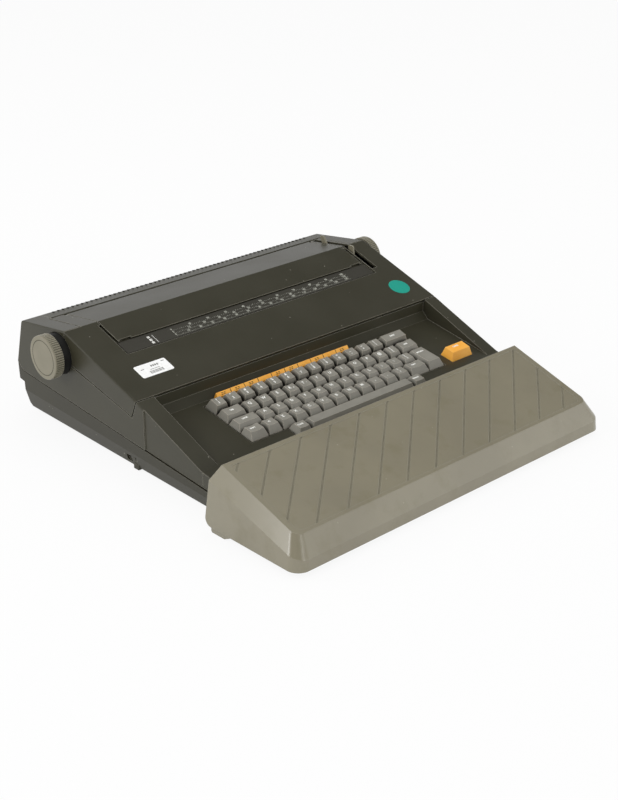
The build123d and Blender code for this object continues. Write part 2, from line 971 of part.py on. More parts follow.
def keycap(x0, width, row, rows_deep=1):
    # A cap as a tapered body on a stem, with its top at the row's own tilt.
    left = x0 + key_gap / 2
    right = x0 + width - key_gap / 2
    front = row_front(row) + key_gap / 2
    back = front + key_pitch * rows_deep - key_gap
    bottom = Polyline(
        (left, front, -cap_sink),
        (right, front, -cap_sink),
        (right, back, -cap_sink),
        (left, back, -cap_sink),
        close=True,
    )
    rear_row = row - rows_deep + 1
    top_front = front + row_front_inset[row]
    top_back = row_front(rear_row) + row_front_inset[rear_row] + cap_top_depth
    side = cap_inset - key_gap / 2
    low, high = row_front_height[row], row_rear_height[rear_row]
    top = Polyline(
        (left + side, top_front, low),
        (right - side, top_front, low),
        (right - side, top_back, high),
        (left + side, top_back, high),
        close=True,
    )
    cap = loft([make_face(bottom), make_face(top)])
    dish = Pos((left + right) / 2, (front + back) / 2, (low + high) / 2 + 34.4)
    tilt = math.degrees(math.atan2(high - low, top_back - top_front))
    if width < 1.6 * key_pitch and rows_deep == 1:
        cap = cap - dish * Rot(tilt + 90, 0, 0) * Cylinder(35, 60)
    stems = [x0 + width / 2]
    if width > 3 * key_pitch:
        stems = [x0 + width * share for share in (0.12, 0.5, 0.88)]
    middle_y = (front + back) / 2
    stem_low = -plate_drop - plate_thickness - stem_below_plate
    for x in stems:
        size = stem_width / 2
        cap = cap + block(x - size, x + size, middle_y - size, middle_y + size, stem_low, 1)
    return deck * cap


def stem_holes():
    # Where each stem goes through the key plate, in the deck frame.
    holes = []
    for x0, width, row, deep in all_keys():
        shares = (0.12, 0.5, 0.88) if width > 3 * key_pitch else (0.5,)
        y = row_front(row) + key_pitch * deep / 2
        for share in shares:
            holes.append((x0 + width * share, y))
    holes.append((orange_left + orange_width / 2, orange_depth / 2))
    return holes


def key_list(row):
    # Character keys of a row, all one pitch wide.
    starts = {1: 0, 2: 1.5, 3: 1.75, 4: 1.25}
    counts = {1: 13, 2: 12, 3: 12, 4: 11}
    u = key_pitch
    return [(keys_left + (starts[row] + i) * u, u, row, 1) for i in range(counts[row])]


def special_keys():
    u = key_pitch
    x = keys_left
    return {
        "backspace_key": (x + 13 * u, 2 * u, 1, 1),
        "tab_key": (x, 1.5 * u, 2, 1),
        "margin_key": (x + 13.5 * u, 1.5 * u, 2, 1),
        "lock_key": (x, 1.75 * u, 3, 1),
        "return_key": (x + 13.75 * u, 1.25 * u, 4, 2),
        "left_shift_key": (x, 1.25 * u, 4, 1),
        "right_shift_key": (x + 12.25 * u, 1.5 * u, 4, 1),
        "code_key": (x + 2.5 * u, u, 5, 1),
        "space_bar": (x + 3.5 * u, 8 * u, 5, 1),
        "repeat_key": (x + 11.5 * u, u, 5, 1),
    }


def all_keys():
    keys = []
    for row in (1, 2, 3, 4):
        keys = keys + key_list(row)
    return keys + list(special_keys().values())


def make_orange_key():
    left, right = orange_left, orange_left + orange_width
    front, back = 0, orange_depth
    bottom = Polyline(
        (left, front, -cap_sink),
        (right, front, -cap_sink),
        (right, back, -cap_sink),
        (left, back, -cap_sink),
        close=True,
    )
    inset = cap_inset - key_gap / 2
    top = Polyline(
        (left + inset, front + 4.0, orange_height - 1.0),
        (right - inset, front + 4.0, orange_height - 1.0),
        (right - inset, back - 2.0, orange_height),
        (left + inset, back - 2.0, orange_height),
        close=True,
    )
    cap = loft([make_face(bottom), make_face(top)])
    size = stem_width / 2
    x, y = (left + right) / 2, (front + back) / 2
    stem_low = -plate_drop - plate_thickness - stem_below_plate
    return deck * (cap + block(x - size, x + size, y - size, y + size, stem_low, 1))


def make_key_plate():
    x0 = keys_left - 6
    x1 = orange_left + orange_width + 6
    top = -plate_drop
    plate = block(x0, x1, -key_pitch - 4, 4 * key_pitch + 4, top - plate_thickness, top)
    size = stem_width / 2 + stem_clearance
    holes = []
    for x, y in stem_holes():
        holes.append(block(x - size, x + size, y - size, y + size, top - 5, top + 5))
    plate = plate - holes
    hangers = []
    for x in (x0 + 2, x1 - 2):
        for y in (2.0, 4 * key_pitch - 2):
            hangers.append(block(x - 2, x + 2, y - 4, y + 4, top - 0.5, -wall - 0.05))
    return deck * (plate + joined(hangers))


def make_keyboard_board():
    x0 = keys_left - 6
    x1 = orange_left + orange_width + 6
    top = -plate_drop - plate_thickness - board_gap
    board = block(x0, x1, -key_pitch + 2, 4 * key_pitch, top - board_thickness, top)
    spacers = []
    for x in (x0 + 2, x1 - 2):
        for y in (4.0, 4 * key_pitch - 4):
            spacers.append(block(x - 1.5, x + 1.5, y - 3, y + 3, top - 0.5, top + board_gap))
    return deck * (board + joined(spacers))


def make_label_strip():
    # A raised bar behind the top row, its face tilted to the typist.
    y0 = 4 * key_pitch + strip_gap
    x0 = keys_left + key_pitch
    x1 = keys_left + 11 * key_pitch
    bar = side_prism(
        [(y0, 0), (y0, strip_front_height), (y0 + strip_depth - 2.0, strip_rear_height), (y0 + strip_depth, 0)],
        x0,
        x1,
    )
    return deck * bar


# Platen and paper feed


def gear(teeth, module, width, bore, turn):
    # A spur gear about X with straight-sided teeth that have a little backlash.
    pitch = teeth * module / 2
    root = pitch - 1.15 * module
    tip = pitch + 0.85 * module
    points = []
    step = 2 * math.pi / teeth
    shares = ((-0.3, root), (-0.13, tip), (0.13, tip), (0.3, root))
    for i in range(teeth):
        for share, radius in shares:
            angle = turn + step * (i + share)
            points.append((radius * math.cos(angle), radius * math.sin(angle)))
    face = make_face(Polyline(points, close=True))
    solid = extrude(face, amount=width)
    return solid - Pos(0, 0, width / 2) * Cylinder(bore, width + 2)


def across_x(solid, x, y, z):
    # Turns a solid made along Z so that it lies along X, its own X along Y.
    plane = Plane(origin=(x, y, z), x_dir=(0, 1, 0), z_dir=(1, 0, 0))
    return plane.location * solid


def make_platen_roller():
    roller = rod_x(-platen_half, platen_half, platen_y, platen_z, platen_radius)
    roller = roller - rod_x(-platen_half - 1, platen_half + 1, platen_y, platen_z, shaft_radius)
    return roller


def make_platen_shaft():
    reach = half + knob_out - 4
    return rod_x(-reach, reach, platen_y, platen_z, shaft_radius)


def knob(side):
    rim = Cylinder(knob_radius, knob_width)
    rim = fillet(rim.edges().group_by(Axis.Z)[-1], 1.0)
    grooves = []
    for i in range(knob_grooves):
        angle = 360 / knob_grooves * i
        grooves.append(Rot(0, 0, angle) * Pos(knob_radius + 0.2, 0, -1.5) * Cylinder(groove_radius, knob_width))
    rim = rim - grooves
    ring = Pos(0, 0, knob_width / 2) * (
        Cylinder(knob_radius - knob_rim, 2 * knob_face_depth)
        - Cylinder(knob_radius - knob_rim - 0.8, 2 * knob_face_depth)
    )
    rim = rim - ring
    bore_depth = knob_width - 4
    rim = rim - Pos(0, 0, -knob_width / 2 + bore_depth / 2) * Cylinder(shaft_radius, bore_depth)
    x = half + knob_out - knob_width / 2
    if side > 0:
        return Pos(x, platen_y, platen_z) * Rot(0, 90, 0) * rim
    return Pos(-x, platen_y, platen_z) * Rot(0, -90, 0) * rim


def make_shaft_collars():
    collars = []
    for side in (-1, 1):
        x0 = half - wall + 0.5
        x1 = half + knob_out - knob_width - 1.0
        ring = rod_x(x0, x1, platen_y, platen_z, collar_radius)
        ring = ring + rod_x(plate_x + plate_wall, x0 + 1, platen_y, platen_z, shaft_radius + 3)
        ring = ring - rod_x(plate_x, x1 + 1, platen_y, platen_z, shaft_radius + running)
        if side < 0:
            ring = mirror(ring, about=Plane.YZ)
            ring = ring - rod_x(gear_x - 1.5, gear_x + gear_width + 1, platen_y, platen_z, platen_radius)
        collars.append(ring)
    solids = [max(c.solids(), key=lambda s: s.volume) for c in collars]
    return Compound(children=solids)


def plate_outline():
    top = rear_z(platen_y) - wall - plate_top_drop
    return [
        (plate_front_y, floor_top),
        (plate_front_y, rod_z + 16),
        (rod_rear_y + 6, rod_z + 30),
        (ridge_y - 12, top - 4),
        (ridge_y, top),
        (platen_y + 18, top),
        (plate_rear_y, platen_z),
        (plate_rear_y, floor_top),
    ]


def side_plate(side):
    x0, x1 = (plate_x, plate_x + plate_wall)
    if side < 0:
        x0, x1 = -x1, -x0
    plate = side_prism(plate_outline(), x0, x1)
    holes = [
        (platen_y, platen_z, shaft_radius + running),
        (rod_front_y, rod_z, rod_radius + running),
        (rod_rear_y, rod_z, rod_radius + running),
        (bail_pivot_y, bail_pivot_z, bail_rod_radius + running),
        (cradle_y, cradle_z, cradle_rod_radius + running),
    ]
    for y, z, radius in holes:
        plate = plate - rod_x(x0 - 1, x1 + 1, y, z, radius)
    if side > 0:
        stub = lever_x + lever_thickness / 2 + 1
        plate = plate + rod_x(x0 + 1, stub, release_pivot_y, release_pivot_z, axle_radius)
    return plate


def make_platen_gear():
    wheel = gear(platen_teeth, gear_module, gear_width, shaft_radius, 0.0)
    return across_x(wheel, gear_x, platen_y, platen_z)


def make_line_feed_pinion():
    # The pinion is turned so that a gap faces the platen gear's nearest tooth.
    meet = math.radians(motor_angle)
    step = 2 * math.pi / pinion_teeth
    teeth_passed = meet / (2 * math.pi / platen_teeth)
    offset_teeth = teeth_passed - math.floor(teeth_passed)
    turn = meet + math.pi + step * (0.5 + offset_teeth)
    wheel = gear(pinion_teeth, gear_module, gear_width, 1.5, turn)
    return across_x(wheel, gear_x, pinion_y, pinion_z)


def make_line_feed_motor():
    x1 = gear_x - 1.0
    body = rod_x(x1 - motor_length, x1, pinion_y, pinion_z, motor_radius)
    shaft = rod_x(x1 - 1, gear_x + gear_width - 0.5, pinion_y, pinion_z, 1.5 - running)
    feet = []
    for angle in (150.0, 240.0, 330.0):
        y = pinion_y + (motor_radius - 2.5) * cosine(angle)
        z = pinion_z + (motor_radius - 2.5) * sine(angle)
        feet.append(rod_x(x1 - 1, -plate_x - plate_wall, y, z, 1.8))
    return body + shaft + feet


def roller_places():
    return (-110.0, -40.0, 40.0, 110.0)


def make_feed_rollers():
    # Rubber rollers bonded to their steel shaft.
    reach = platen_half + arm_gap + arm_thickness + 1
    shaft = rod_x(-reach, reach, feed_y, feed_z, feed_shaft_radius)
    rollers = [
        rod_x(x - feed_length / 2, x + feed_length / 2, feed_y, feed_z, feed_radius) for x in roller_places()
    ]
    return shaft + rollers


def make_feed_cradle():
    # Two arms on one rod, carrying the feed shaft below the platen.
    x_in = platen_half + arm_gap
    arms = []
    for side in (-1, 1):
        x0, x1 = sorted((side * x_in, side * (x_in + arm_thickness)))
        web = side_prism(
            [
                (feed_y, feed_z + 3.6),
                (cradle_y, cradle_z + 4.0),
                (cradle_y, cradle_z - 4.0),
                (feed_y, feed_z - 3.6),
            ],
            x0,
            x1,
        )
        arm = web + rod_x(x0, x1, feed_y, feed_z, 4.4) + rod_x(x0, x1, cradle_y, cradle_z, 4.4)
        arms.append(arm - rod_x(x0 - 1, x1 + 1, feed_y, feed_z, feed_shaft_radius + running))
    reach = plate_x + plate_wall - 0.5
    return arms[0] + arms[1] + rod_x(-reach, reach, cradle_y, cradle_z, cradle_rod_radius)


def make_paper_pan():
    inner = platen_radius + pan_gap
    ring = rod_x(-plate_x, plate_x, platen_y, platen_z, inner + pan_thickness)
    ring = ring - rod_x(-plate_x - 1, plate_x + 1, platen_y, platen_z, inner)
    reach = 60.0
    wedge_points = [(platen_y, platen_z)]
    for i in range(7):
        angle = pan_from + (pan_to - pan_from) * i / 6
        wedge_points.append((platen_y + reach * cosine(angle), platen_z + reach * sine(angle)))
    pan = ring & side_prism(wedge_points, -plate_x - 1, plate_x + 1)
    clear = feed_radius + 2.2
    for x in roller_places():
        pan = pan - rod_x(x - feed_length / 2 - 1, x + feed_length / 2 + 1, feed_y, feed_z, clear)
    x_in = platen_half + arm_gap - 1
    x_out = x_in + arm_thickness + 2
    for side in (-1, 1):
        x0, x1 = sorted((side * x_in, side * x_out))
        pan = pan - rod_x(x0, x1, feed_y, feed_z, clear)
    return pan


def make_bail_frame():
    # A rod over the platen's front on two arms, with a stub pin at each foot.
    x_in = platen_half + arm_gap + arm_thickness + 2
    x_out = x_in + arm_thickness
    reach = x_out
    frame = rod_x(-reach, reach, bail_y, bail_z, bail_rod_radius)
    for side in (-1, 1):
        x0, x1 = sorted((side * x_in, side * x_out))
        half_width = 3.0
        lean = (bail_y - bail_pivot_y) / (bail_z - bail_pivot_z)
        web = side_prism(
            [
                (bail_pivot_y - half_width, bail_pivot_z + half_width * lean),
                (bail_y - half_width, bail_z + half_width * lean),
                (bail_y + half_width, bail_z - half_width * lean),
                (bail_pivot_y + half_width, bail_pivot_z - half_width * lean),
            ],
            x0,
            x1,
        )
        frame = frame + web + rod_x(x0, x1, bail_y, bail_z, 3.4)
        frame = frame + rod_x(x0, x1, bail_pivot_y, bail_pivot_z, 4.0)
        stub = plate_x + plate_wall if side < 0 else lever_x + lever_thickness / 2
        a, b = sorted((side * x_in, side * stub))
        frame = frame + rod_x(a, b, bail_pivot_y, bail_pivot_z, bail_rod_radius)
    return frame


def make_bail_rollers():
    rollers = []
    for x in (-bail_roller_spacing, 0, bail_roller_spacing):
        x0, x1 = x - bail_roller_length / 2, x + bail_roller_length / 2
        roller = rod_x(x0, x1, bail_y, bail_z, bail_roller_radius)
        rollers.append(roller - rod_x(x0 - 1, x1 + 1, bail_y, bail_z, bail_rod_radius))
    return Compound(children=rollers)


def lever(pivot_y, pivot_z, tip_y, tip_z, bend_y, bend_z, bore):
    # A flat lever with an eye, a slim shank and a wider paddle at its tip.
    x0, x1 = lever_x - lever_thickness / 2, lever_x + lever_thickness / 2
    shank = side_prism(
        [
            (pivot_y - 2.5, pivot_z),
            (bend_y - 2.5, bend_z),
            (bend_y + 2.5, bend_z),
            (pivot_y + 2.5, pivot_z),
        ],
        x0,
        x1,
    )
    wide = lever_width / 2
    paddle = side_prism(
        [
            (bend_y - wide, bend_z - 3),
            (tip_y - wide, tip_z),
            (tip_y + wide, tip_z),
            (bend_y + wide, bend_z - 3),
        ],
        x0,
        x1,
    )
    ends = [e for e in paddle.edges().filter_by(Axis.X) if e.center().Z > tip_z - 0.5]
    paddle = fillet(ends, 2.0)
    eye = rod_x(x0, x1, pivot_y, pivot_z, bore + 2.4)
    return shank + paddle + eye - rod_x(x0 - 1, x1 + 1, pivot_y, pivot_z, bore)


def make_bail_lever():
    tip_y = bail_pivot_y + bail_lever_back
    tip_z = slope_z(tip_y) + lever_rise
    return lever(bail_pivot_y, bail_pivot_z, tip_y, tip_z, tip_y - 3, tip_z - 16, bail_rod_radius)


def make_release_lever():
    tip_y = platen_y + release_tip_back
    tip_z = rear_z(tip_y) + release_rise
    bend_y = tip_y - 10
    bend_z = rear_z(bend_y) - 6
    return lever(release_pivot_y, release_pivot_z, tip_y, tip_z, bend_y, bend_z, axle_radius + running)


# Carriage


def make_carriage_rods():
    reach = plate_x + plate_wall - 0.4
    rods = [rod_x(-reach, reach, y, rod_z, rod_radius) for y in (rod_front_y, rod_rear_y)]
    return Compound(children=rods)


def make_carriage_frame():
    x = carriage_rest_x
    wide = carriage_width / 2
    y0 = rod_front_y - rod_radius - block_margin
    y1 = tower_y + tower_thickness
    z0, z1 = rod_z - block_below, rod_z + block_above
    frame = block(x - wide, x + wide, y0, y1, z0, z1)
    for y in (rod_front_y, rod_rear_y):
        frame = frame - rod_x(x - wide - 1, x + wide + 1, y, rod_z, rod_radius + running)
    tray_z = z1 + tray_gap
    frame = frame + block(x - 20, x + 20, y0 + 6, tower_y - 4, z1 - 1, tray_z + 1)
    tray = tray_width / 2
    frame = frame + block(x - tray, x + tray, cassette_front_y + 2, tower_y - 5, tray_z, tray_z + tray_thickness)
    tower_top = hammer_z + hammer_radius
    narrow = tower_width / 2
    frame = frame + block(x - narrow, x + narrow, tower_y, y1, z0, tower_top)
    return frame


def make_wheel_motor():
    y0 = tower_y + tower_thickness
    motor = rod_y(carriage_rest_x, y0, y0 + wheel_motor_length - 2, wheel_z, wheel_motor_radius)
    shaft = rod_y(carriage_rest_x, y0 + 2, wheel_front_y + wheel_thickness - 0.1, wheel_z, 2.0)
    return motor + shaft


def make_daisy_wheel():
    hub = Cylinder(wheel_hub_radius, wheel_thickness)
    petals = []
    length = wheel_radius - wheel_hub_radius + 1
    for i in range(wheel_petals):
        middle = wheel_radius - length / 2
        petal = Pos(middle, 0, 0) * Box(length, petal_width, wheel_thickness)
        petals.append(Rot(0, 0, 360 / wheel_petals * i) * petal)
    wheel = hub + petals
    wheel = wheel - Cylinder(2.0 + running, wheel_thickness * 3)
    y = wheel_front_y + wheel_thickness / 2
    return Pos(carriage_rest_x, y, wheel_z) * Rot(90, 0, 0) * wheel


def make_hammer_solenoid():
    y0 = tower_y + tower_thickness
    coil = rod_y(carriage_rest_x, y0, y0 + hammer_length, hammer_z, hammer_radius)
    return coil - rod_y(carriage_rest_x, y0 + 6, y0 + hammer_length + 1, hammer_z, hammer_pin_radius + running)


def make_hammer_pin():
    y0 = tower_y + tower_thickness + 7
    y1 = wheel_front_y - hammer_throw - hammer_rest_gap
    return rod_y(carriage_rest_x, y0, y1, hammer_z, hammer_pin_radius)


def make_ribbon_cassette():
    x = carriage_rest_x
    z0 = rod_z + block_above + tray_gap + tray_thickness
    wide = cassette_width / 2
    y1 = tower_y - 3
    body = block(x - wide, x + wide, cassette_front_y, y1, z0, z0 + cassette_height)
    body = fillet(body.edges().filter_by(Axis.Z), 4.0)
    ribbon_y = platen_y - platen_radius - ribbon_gap - ribbon_thickness
    for side in (-1, 1):
        a, b = sorted((x + side * 33.0, x + side * 29.0))
        arm = block(a, b, y1 - 6, ribbon_y + ribbon_thickness, z0 + cassette_height - 12, hammer_z + 2)
        body = body + arm
    return body + make_ribbon()


def make_ribbon():
    ribbon_y = platen_y - platen_radius - ribbon_gap - ribbon_thickness
    x = carriage_rest_x
    z1 = hammer_z + 2
    return block(x - 29.0, x + 29.0, ribbon_y, ribbon_y + ribbon_thickness, z1 - ribbon_height, z1)


def pulley(x):
    body = Cylinder(pulley_radius, belt_width + pulley_rim)
    shift = (belt_width + pulley_rim) / 2
    rims = [Pos(0, 0, s * shift) * Cylinder(pulley_radius + pulley_rim, pulley_rim) for s in (-1, 1)]
    body = body + rims - Cylinder(axle_radius + running, belt_width * 3)
    return Pos(x, belt_y, belt_z) * Rot(90, 0, 0) * body


def belt_loop(radius, width):
    bar = block(-pulley_x, pulley_x, -width / 2, width / 2, -radius, radius)
    ends = [rod_y(x, -width / 2, width / 2, 0, radius) for x in (-pulley_x, pulley_x)]
    return bar + ends


def make_drive_belt():
    outer = belt_loop(belt_outer, belt_width - 1)
    return Pos(0, belt_y, belt_z) * (outer - belt_loop(belt_outer - belt_thickness, belt_width + 1))


def make_carriage_motor():
    y0 = belt_y + belt_width / 2 + pulley_rim + free_gap + pulley_post
    body = rod_y(pulley_x, y0, y0 + carriage_motor_length, belt_z, belt_z - floor_top)
    return body + rod_y(pulley_x, belt_y - belt_width / 2, y0 + 1, belt_z, axle_radius)


# Electrics


def make_main_board():
    z = floor_top + board_lift
    wide = main_board_width / 2
    board = block(-wide, wide, 10, 10 + main_board_depth, z, z + board_thickness)
    chips = []
    for i, (width, depth) in enumerate(((50, 14), (36, 14), (18, 9), (18, 9), (36, 14))):
        x = -wide + 40 + 42 * i
        top = z + board_thickness
        chips.append(block(x - width / 2, x + width / 2, 60, 60 + depth, top - 0.2, top + 4))
    return board + chips


def make_transformer():
    wide = transformer_width / 2
    y0 = transformer_y
    core = block(
        transformer_x - wide,
        transformer_x + wide,
        y0,
        y0 + transformer_depth - 10,
        floor_top,
        floor_top + transformer_height,
    )
    coil = block(
        transformer_x - wide + 12,
        transformer_x + wide - 12,
        y0 - 5,
        y0 + transformer_depth - 5,
        floor_top + 8,
        floor_top + transformer_height - 8,
    )
    return core + coil


def rear_wall_y():
    return rear_lip_y - base_step_in - 1.4


def inlet_hole():
    y = rear_wall_y()
    wide, tall = inlet_width / 2, inlet_height / 2
    return block(inlet_x - wide, inlet_x + wide, y - 6, y + 6, inlet_z - tall, inlet_z + tall)


def make_power_inlet():
    y = rear_wall_y()
    wide, tall = inlet_width / 2 - 0.1, inlet_height / 2 - 0.1
    body = block(inlet_x - wide, inlet_x + wide, y - inlet_depth, y - 0.6, inlet_z - tall, inlet_z + tall)
    flange = block(
        inlet_x - wide - 3, inlet_x + wide + 3, y - wall - 3.2, y - wall - 1.5, inlet_z - tall, inlet_z + tall
    )
    w, t = wide - 2, tall - 2
    room = block(inlet_x - w, inlet_x + w, y - inlet_depth + 3, y + 1, inlet_z - t, inlet_z + t)
    pins = []
    for dx in (-7.0, 0.0, 7.0):
        x, z = inlet_x + dx, inlet_z + (2.0 if dx == 0 else -2.0)
        pins.append(block(x - 1, x + 1, y - inlet_depth + 2, y - 8, z - 2, z + 2))
    return body + flange - room + pins


def switch_room(gap=0.0, deep=9.0):
    y = rear_wall_y()
    wide, tall = switch_width / 2 + gap, switch_height / 2 + gap
    return block(switch_x - wide, switch_x + wide, y - deep, y + 3, inlet_z - tall, inlet_z + tall)


def switch_pocket():
    # The pocket in the rear wall that the rocker turns in.
    y = rear_wall_y()
    inside = block(switch_x - 20, switch_x + 20, y - 20, y - wall / 2, 0, rear_lip_z)
    return (switch_room(switch_pocket_wall, 9.0 + switch_pocket_wall) & inside) - switch_room()


def switch_axle(radius):
    wide = switch_width / 2 + switch_pocket_wall
    return rod_x(switch_x - wide, switch_x + wide, rear_wall_y() - switch_inset, inlet_z, radius)


def make_power_switch():
    y = rear_wall_y()
    wide, tall = switch_width / 2 - 0.5, switch_height / 2 - 0.9
    rocker = side_prism(
        [
            (y - 7.0, inlet_z - 3),
            (y - 3.0, inlet_z - tall),
            (y + 1.6, inlet_z - tall + 0.5),
            (y - 0.4, inlet_z),
            (y - 0.4, inlet_z + tall - 0.5),
            (y - 4.4, inlet_z + tall),
            (y - 7.0, inlet_z + 3),
        ],
        switch_x - wide,
        switch_x + wide,
    )
    return rocker + switch_axle(axle_radius)


# Keyboard cover


def cover_section(inset, drop, y_rear, z_rear, y_front, z_front, radius):
    # A closed outline with a straight rear and two rounded front corners, on the
    # plane through its rear and front lines.
    run = math.hypot(y_rear - y_front, z_rear - z_front)
    wide = cover_width / 2 - inset
    plane = Plane(
        origin=(-cover_aside, y_front, z_front - drop),
        x_dir=(1, 0, 0),
        z_dir=(0, -(z_rear - z_front) / run, (y_rear - y_front) / run),
    )
    corner = 1 - math.sqrt(0.5)
    wire = (
        Polyline((-wide, radius), (-wide, run), (wide, run), (wide, radius))
        + ThreePointArc((wide, radius), (wide - corner * radius, corner * radius), (wide - radius, 0))
        + Line((wide - radius, 0), (-wide + radius, 0))
        + ThreePointArc((-wide + radius, 0), (-wide + corner * radius, corner * radius), (-wide, radius))
    )
    return plane * make_face(wire)


def cover_body(shrink, extend, lower):
    # Three outlines, ruled: the foot of the skirt, the foot of the bevel, the top.
    front = -cover_gap - cover_depth
    rear_foot = -cover_gap + extend
    top_rear_y = -cover_gap - cover_lean
    top_front_y = front + cover_front_bevel
    top_front_z = cover_rear_z - (top_rear_y - top_front_y) * tangent(cover_top_angle)
    bevel_rear_y = -cover_gap - cover_lean / 2
    bevel_rear_z = cover_rear_z - cover_side_drop
    bevel_front_z = cover_rest + cover_skirt_front
    foot = cover_section(
        shrink, 0, rear_foot, cover_rest - lower, front + shrink, cover_rest - lower, cover_corner - shrink
    )
    middle = cover_section(
        cover_side_draft + shrink,
        shrink * 0.4,
        bevel_rear_y + extend,
        bevel_rear_z + extend * tangent(cover_top_angle),
        front + 1.0 + shrink,
        bevel_front_z,
        cover_corner - shrink,
    )
    top = cover_section(
        cover_side_bevel + shrink * 0.6,
        shrink / cosine(cover_top_angle),
        top_rear_y + extend,
        cover_rear_z + extend * tangent(cover_top_angle),
        top_front_y + shrink * 0.6,
        top_front_z + shrink * 0.6 * tangent(cover_top_angle),
        cover_top_corner,
    )
    return loft([foot, middle], ruled=True) + loft([middle, top], ruled=True)


def cover_top_cuts():
    # The sunk field of the top, and shallow stripes that cross it slantwise.
    top_y = -cover_gap - cover_depth + cover_front_bevel
    depth = cover_depth - cover_lean - cover_front_bevel
    run = depth / cosine(cover_top_angle)
    plane = Plane(
        origin=(-cover_aside, top_y, cover_rear_z - depth * tangent(cover_top_angle)),
        x_dir=(1, 0, 0),
        z_dir=(0, -sine(cover_top_angle), cosine(cover_top_angle)),
    )
    wide = 2 * (cover_width / 2 - cover_side_bevel - field_side)
    deep = run - field_front - field_rear
    outline = Pos(0, field_front + deep / 2) * Rectangle(wide, deep)
    outline = fillet(outline.vertices().group_by(Axis.Y)[0], field_corner)
    field = extrude(outline, amount=field_depth + stripe_depth)
    slant = tangent(stripe_angle)
    first = -wide / 2 - run * slant + stripe_shift
    stripes = []
    for i in range(int((wide + run * slant) / stripe_pitch) + 1):
        place = Pos(first + i * stripe_pitch + run / 2 * slant, run / 2) * Rot(0, 0, -stripe_angle)
        stripes.append(place * Box(stripe_width, 3 * run, 9))
    cuts = Pos(0, 0, -field_depth - stripe_depth) * (field & joined(stripes))
    return plane * (Pos(0, 0, -field_depth) * field + cuts)


def make_keyboard_cover():
    shell = cover_body(0, 0, 0) - cover_body(cover_wall, 20, 10)
    shell = fillet(edges_at(shell, -cover_gap, cover_rest), cover_low_corner) - cover_top_cuts()
    pads = []
    y0 = -cover_gap - cover_depth + pad_setback
    for x in (-pad_spacing, pad_spacing):
        pad = block(x - pad_width / 2, x + pad_width / 2, y0, y0 + pad_depth, 0, cover_rear_z)
        pads.append(Pos(-cover_aside, 0, 0) * pad & cover_body(cover_wall / 2, 0, 10))
    return shell + pads + cover_hooks()


def cover_hooks():
    # Feet inside the two sides, which also hold the cover on when it is closed.
    hooks = []
    y1 = -cover_gap - hook_start
    for side in (-1, 1):
        x_out = cover_width / 2 - cover_wall / 2
        x0, x1 = sorted((side * x_out, side * (x_out - hook_thickness)))
        top = cover_rest + hook_height
        points = [
            (y1, top),
            (y1, 1.2),
            (y1 - 1.5, 0),
            (y1 - hook_flat, 0),
            (y1 - hook_length, cover_rest),
            (y1 - hook_length, top),
        ]
        hooks.append(Pos(-cover_aside, 0, 0) * side_prism(points, x0, x1))
    return hooks


def make_parts():
    parts = {
        "base_pan": make_base_pan(),
        "upper_case": make_upper_case(),
        "top_cover": make_top_cover(),
        "scale_strip": make_scale_strip(),
        "access_lid": make_access_lid(),
        "paper_support": make_paper_support(),
        "hinge_pins": make_hinge_pins(),
        "rubber_feet": make_rubber_feet(),
        "case_screws": make_case_screws(),
        "keyboard_cover": make_keyboard_cover(),
        "key_plate": make_key_plate(),
        "keyboard_board": make_keyboard_board(),
        "label_strip": make_label_strip(),
        "platen_roller": make_platen_roller(),
        "platen_shaft": make_platen_shaft(),
        "left_knob": knob(-1),
        "right_knob": knob(1),
        "shaft_collars": make_shaft_collars(),
        "left_side_plate": side_plate(-1),
        "right_side_plate": side_plate(1),
        "platen_gear": make_platen_gear(),
        "line_feed_pinion": make_line_feed_pinion(),
        "line_feed_motor": make_line_feed_motor(),
        "feed_rollers": make_feed_rollers(),
        "feed_cradle": make_feed_cradle(),
        "paper_pan": make_paper_pan(),
        "bail_frame": make_bail_frame(),
        "bail_rollers": make_bail_rollers(),
        "bail_lever": make_bail_lever(),
        "release_lever": make_release_lever(),
        "carriage_rods": make_carriage_rods(),
        "carriage_frame": make_carriage_frame(),
        "wheel_motor": make_wheel_motor(),
        "daisy_wheel": make_daisy_wheel(),
        "hammer_solenoid": make_hammer_solenoid(),
        "hammer_pin": make_hammer_pin(),
        "ribbon_cassette": make_ribbon_cassette(),
        "drive_pulley": pulley(pulley_x),
        "idler_pulley": pulley(-pulley_x),
        "drive_belt": make_drive_belt(),
        "carriage_motor": make_carriage_motor(),
        "main_board": make_main_board(),
        "transformer": make_transformer(),
        "power_inlet": make_power_inlet(),
        "power_switch": make_power_switch(),
    }
    rows = {1: "number_row_keys", 2: "upper_row_keys", 3: "home_row_keys", 4: "lower_row_keys"}
    for row, name in rows.items():
        caps = [keycap(*key) for key in key_list(row)]
        parts[name] = Compound(children=caps)
    for name, key in special_keys().items():
        parts[name] = keycap(*key)
    parts["orange_key"] = make_orange_key()
    return parts


def main():
    os.makedirs("parts", exist_ok=True)
    parts = make_parts()
    place = Location((machine_x, machine_y, 0))
    for name, shape in parts.items():
        export_step(place * shape, f"parts/{name}.step")
        print(name, len(shape.solids()), "solids", round(shape.volume), "mm3")


if __name__ == "__main__":
    main()
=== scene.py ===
import json
import math

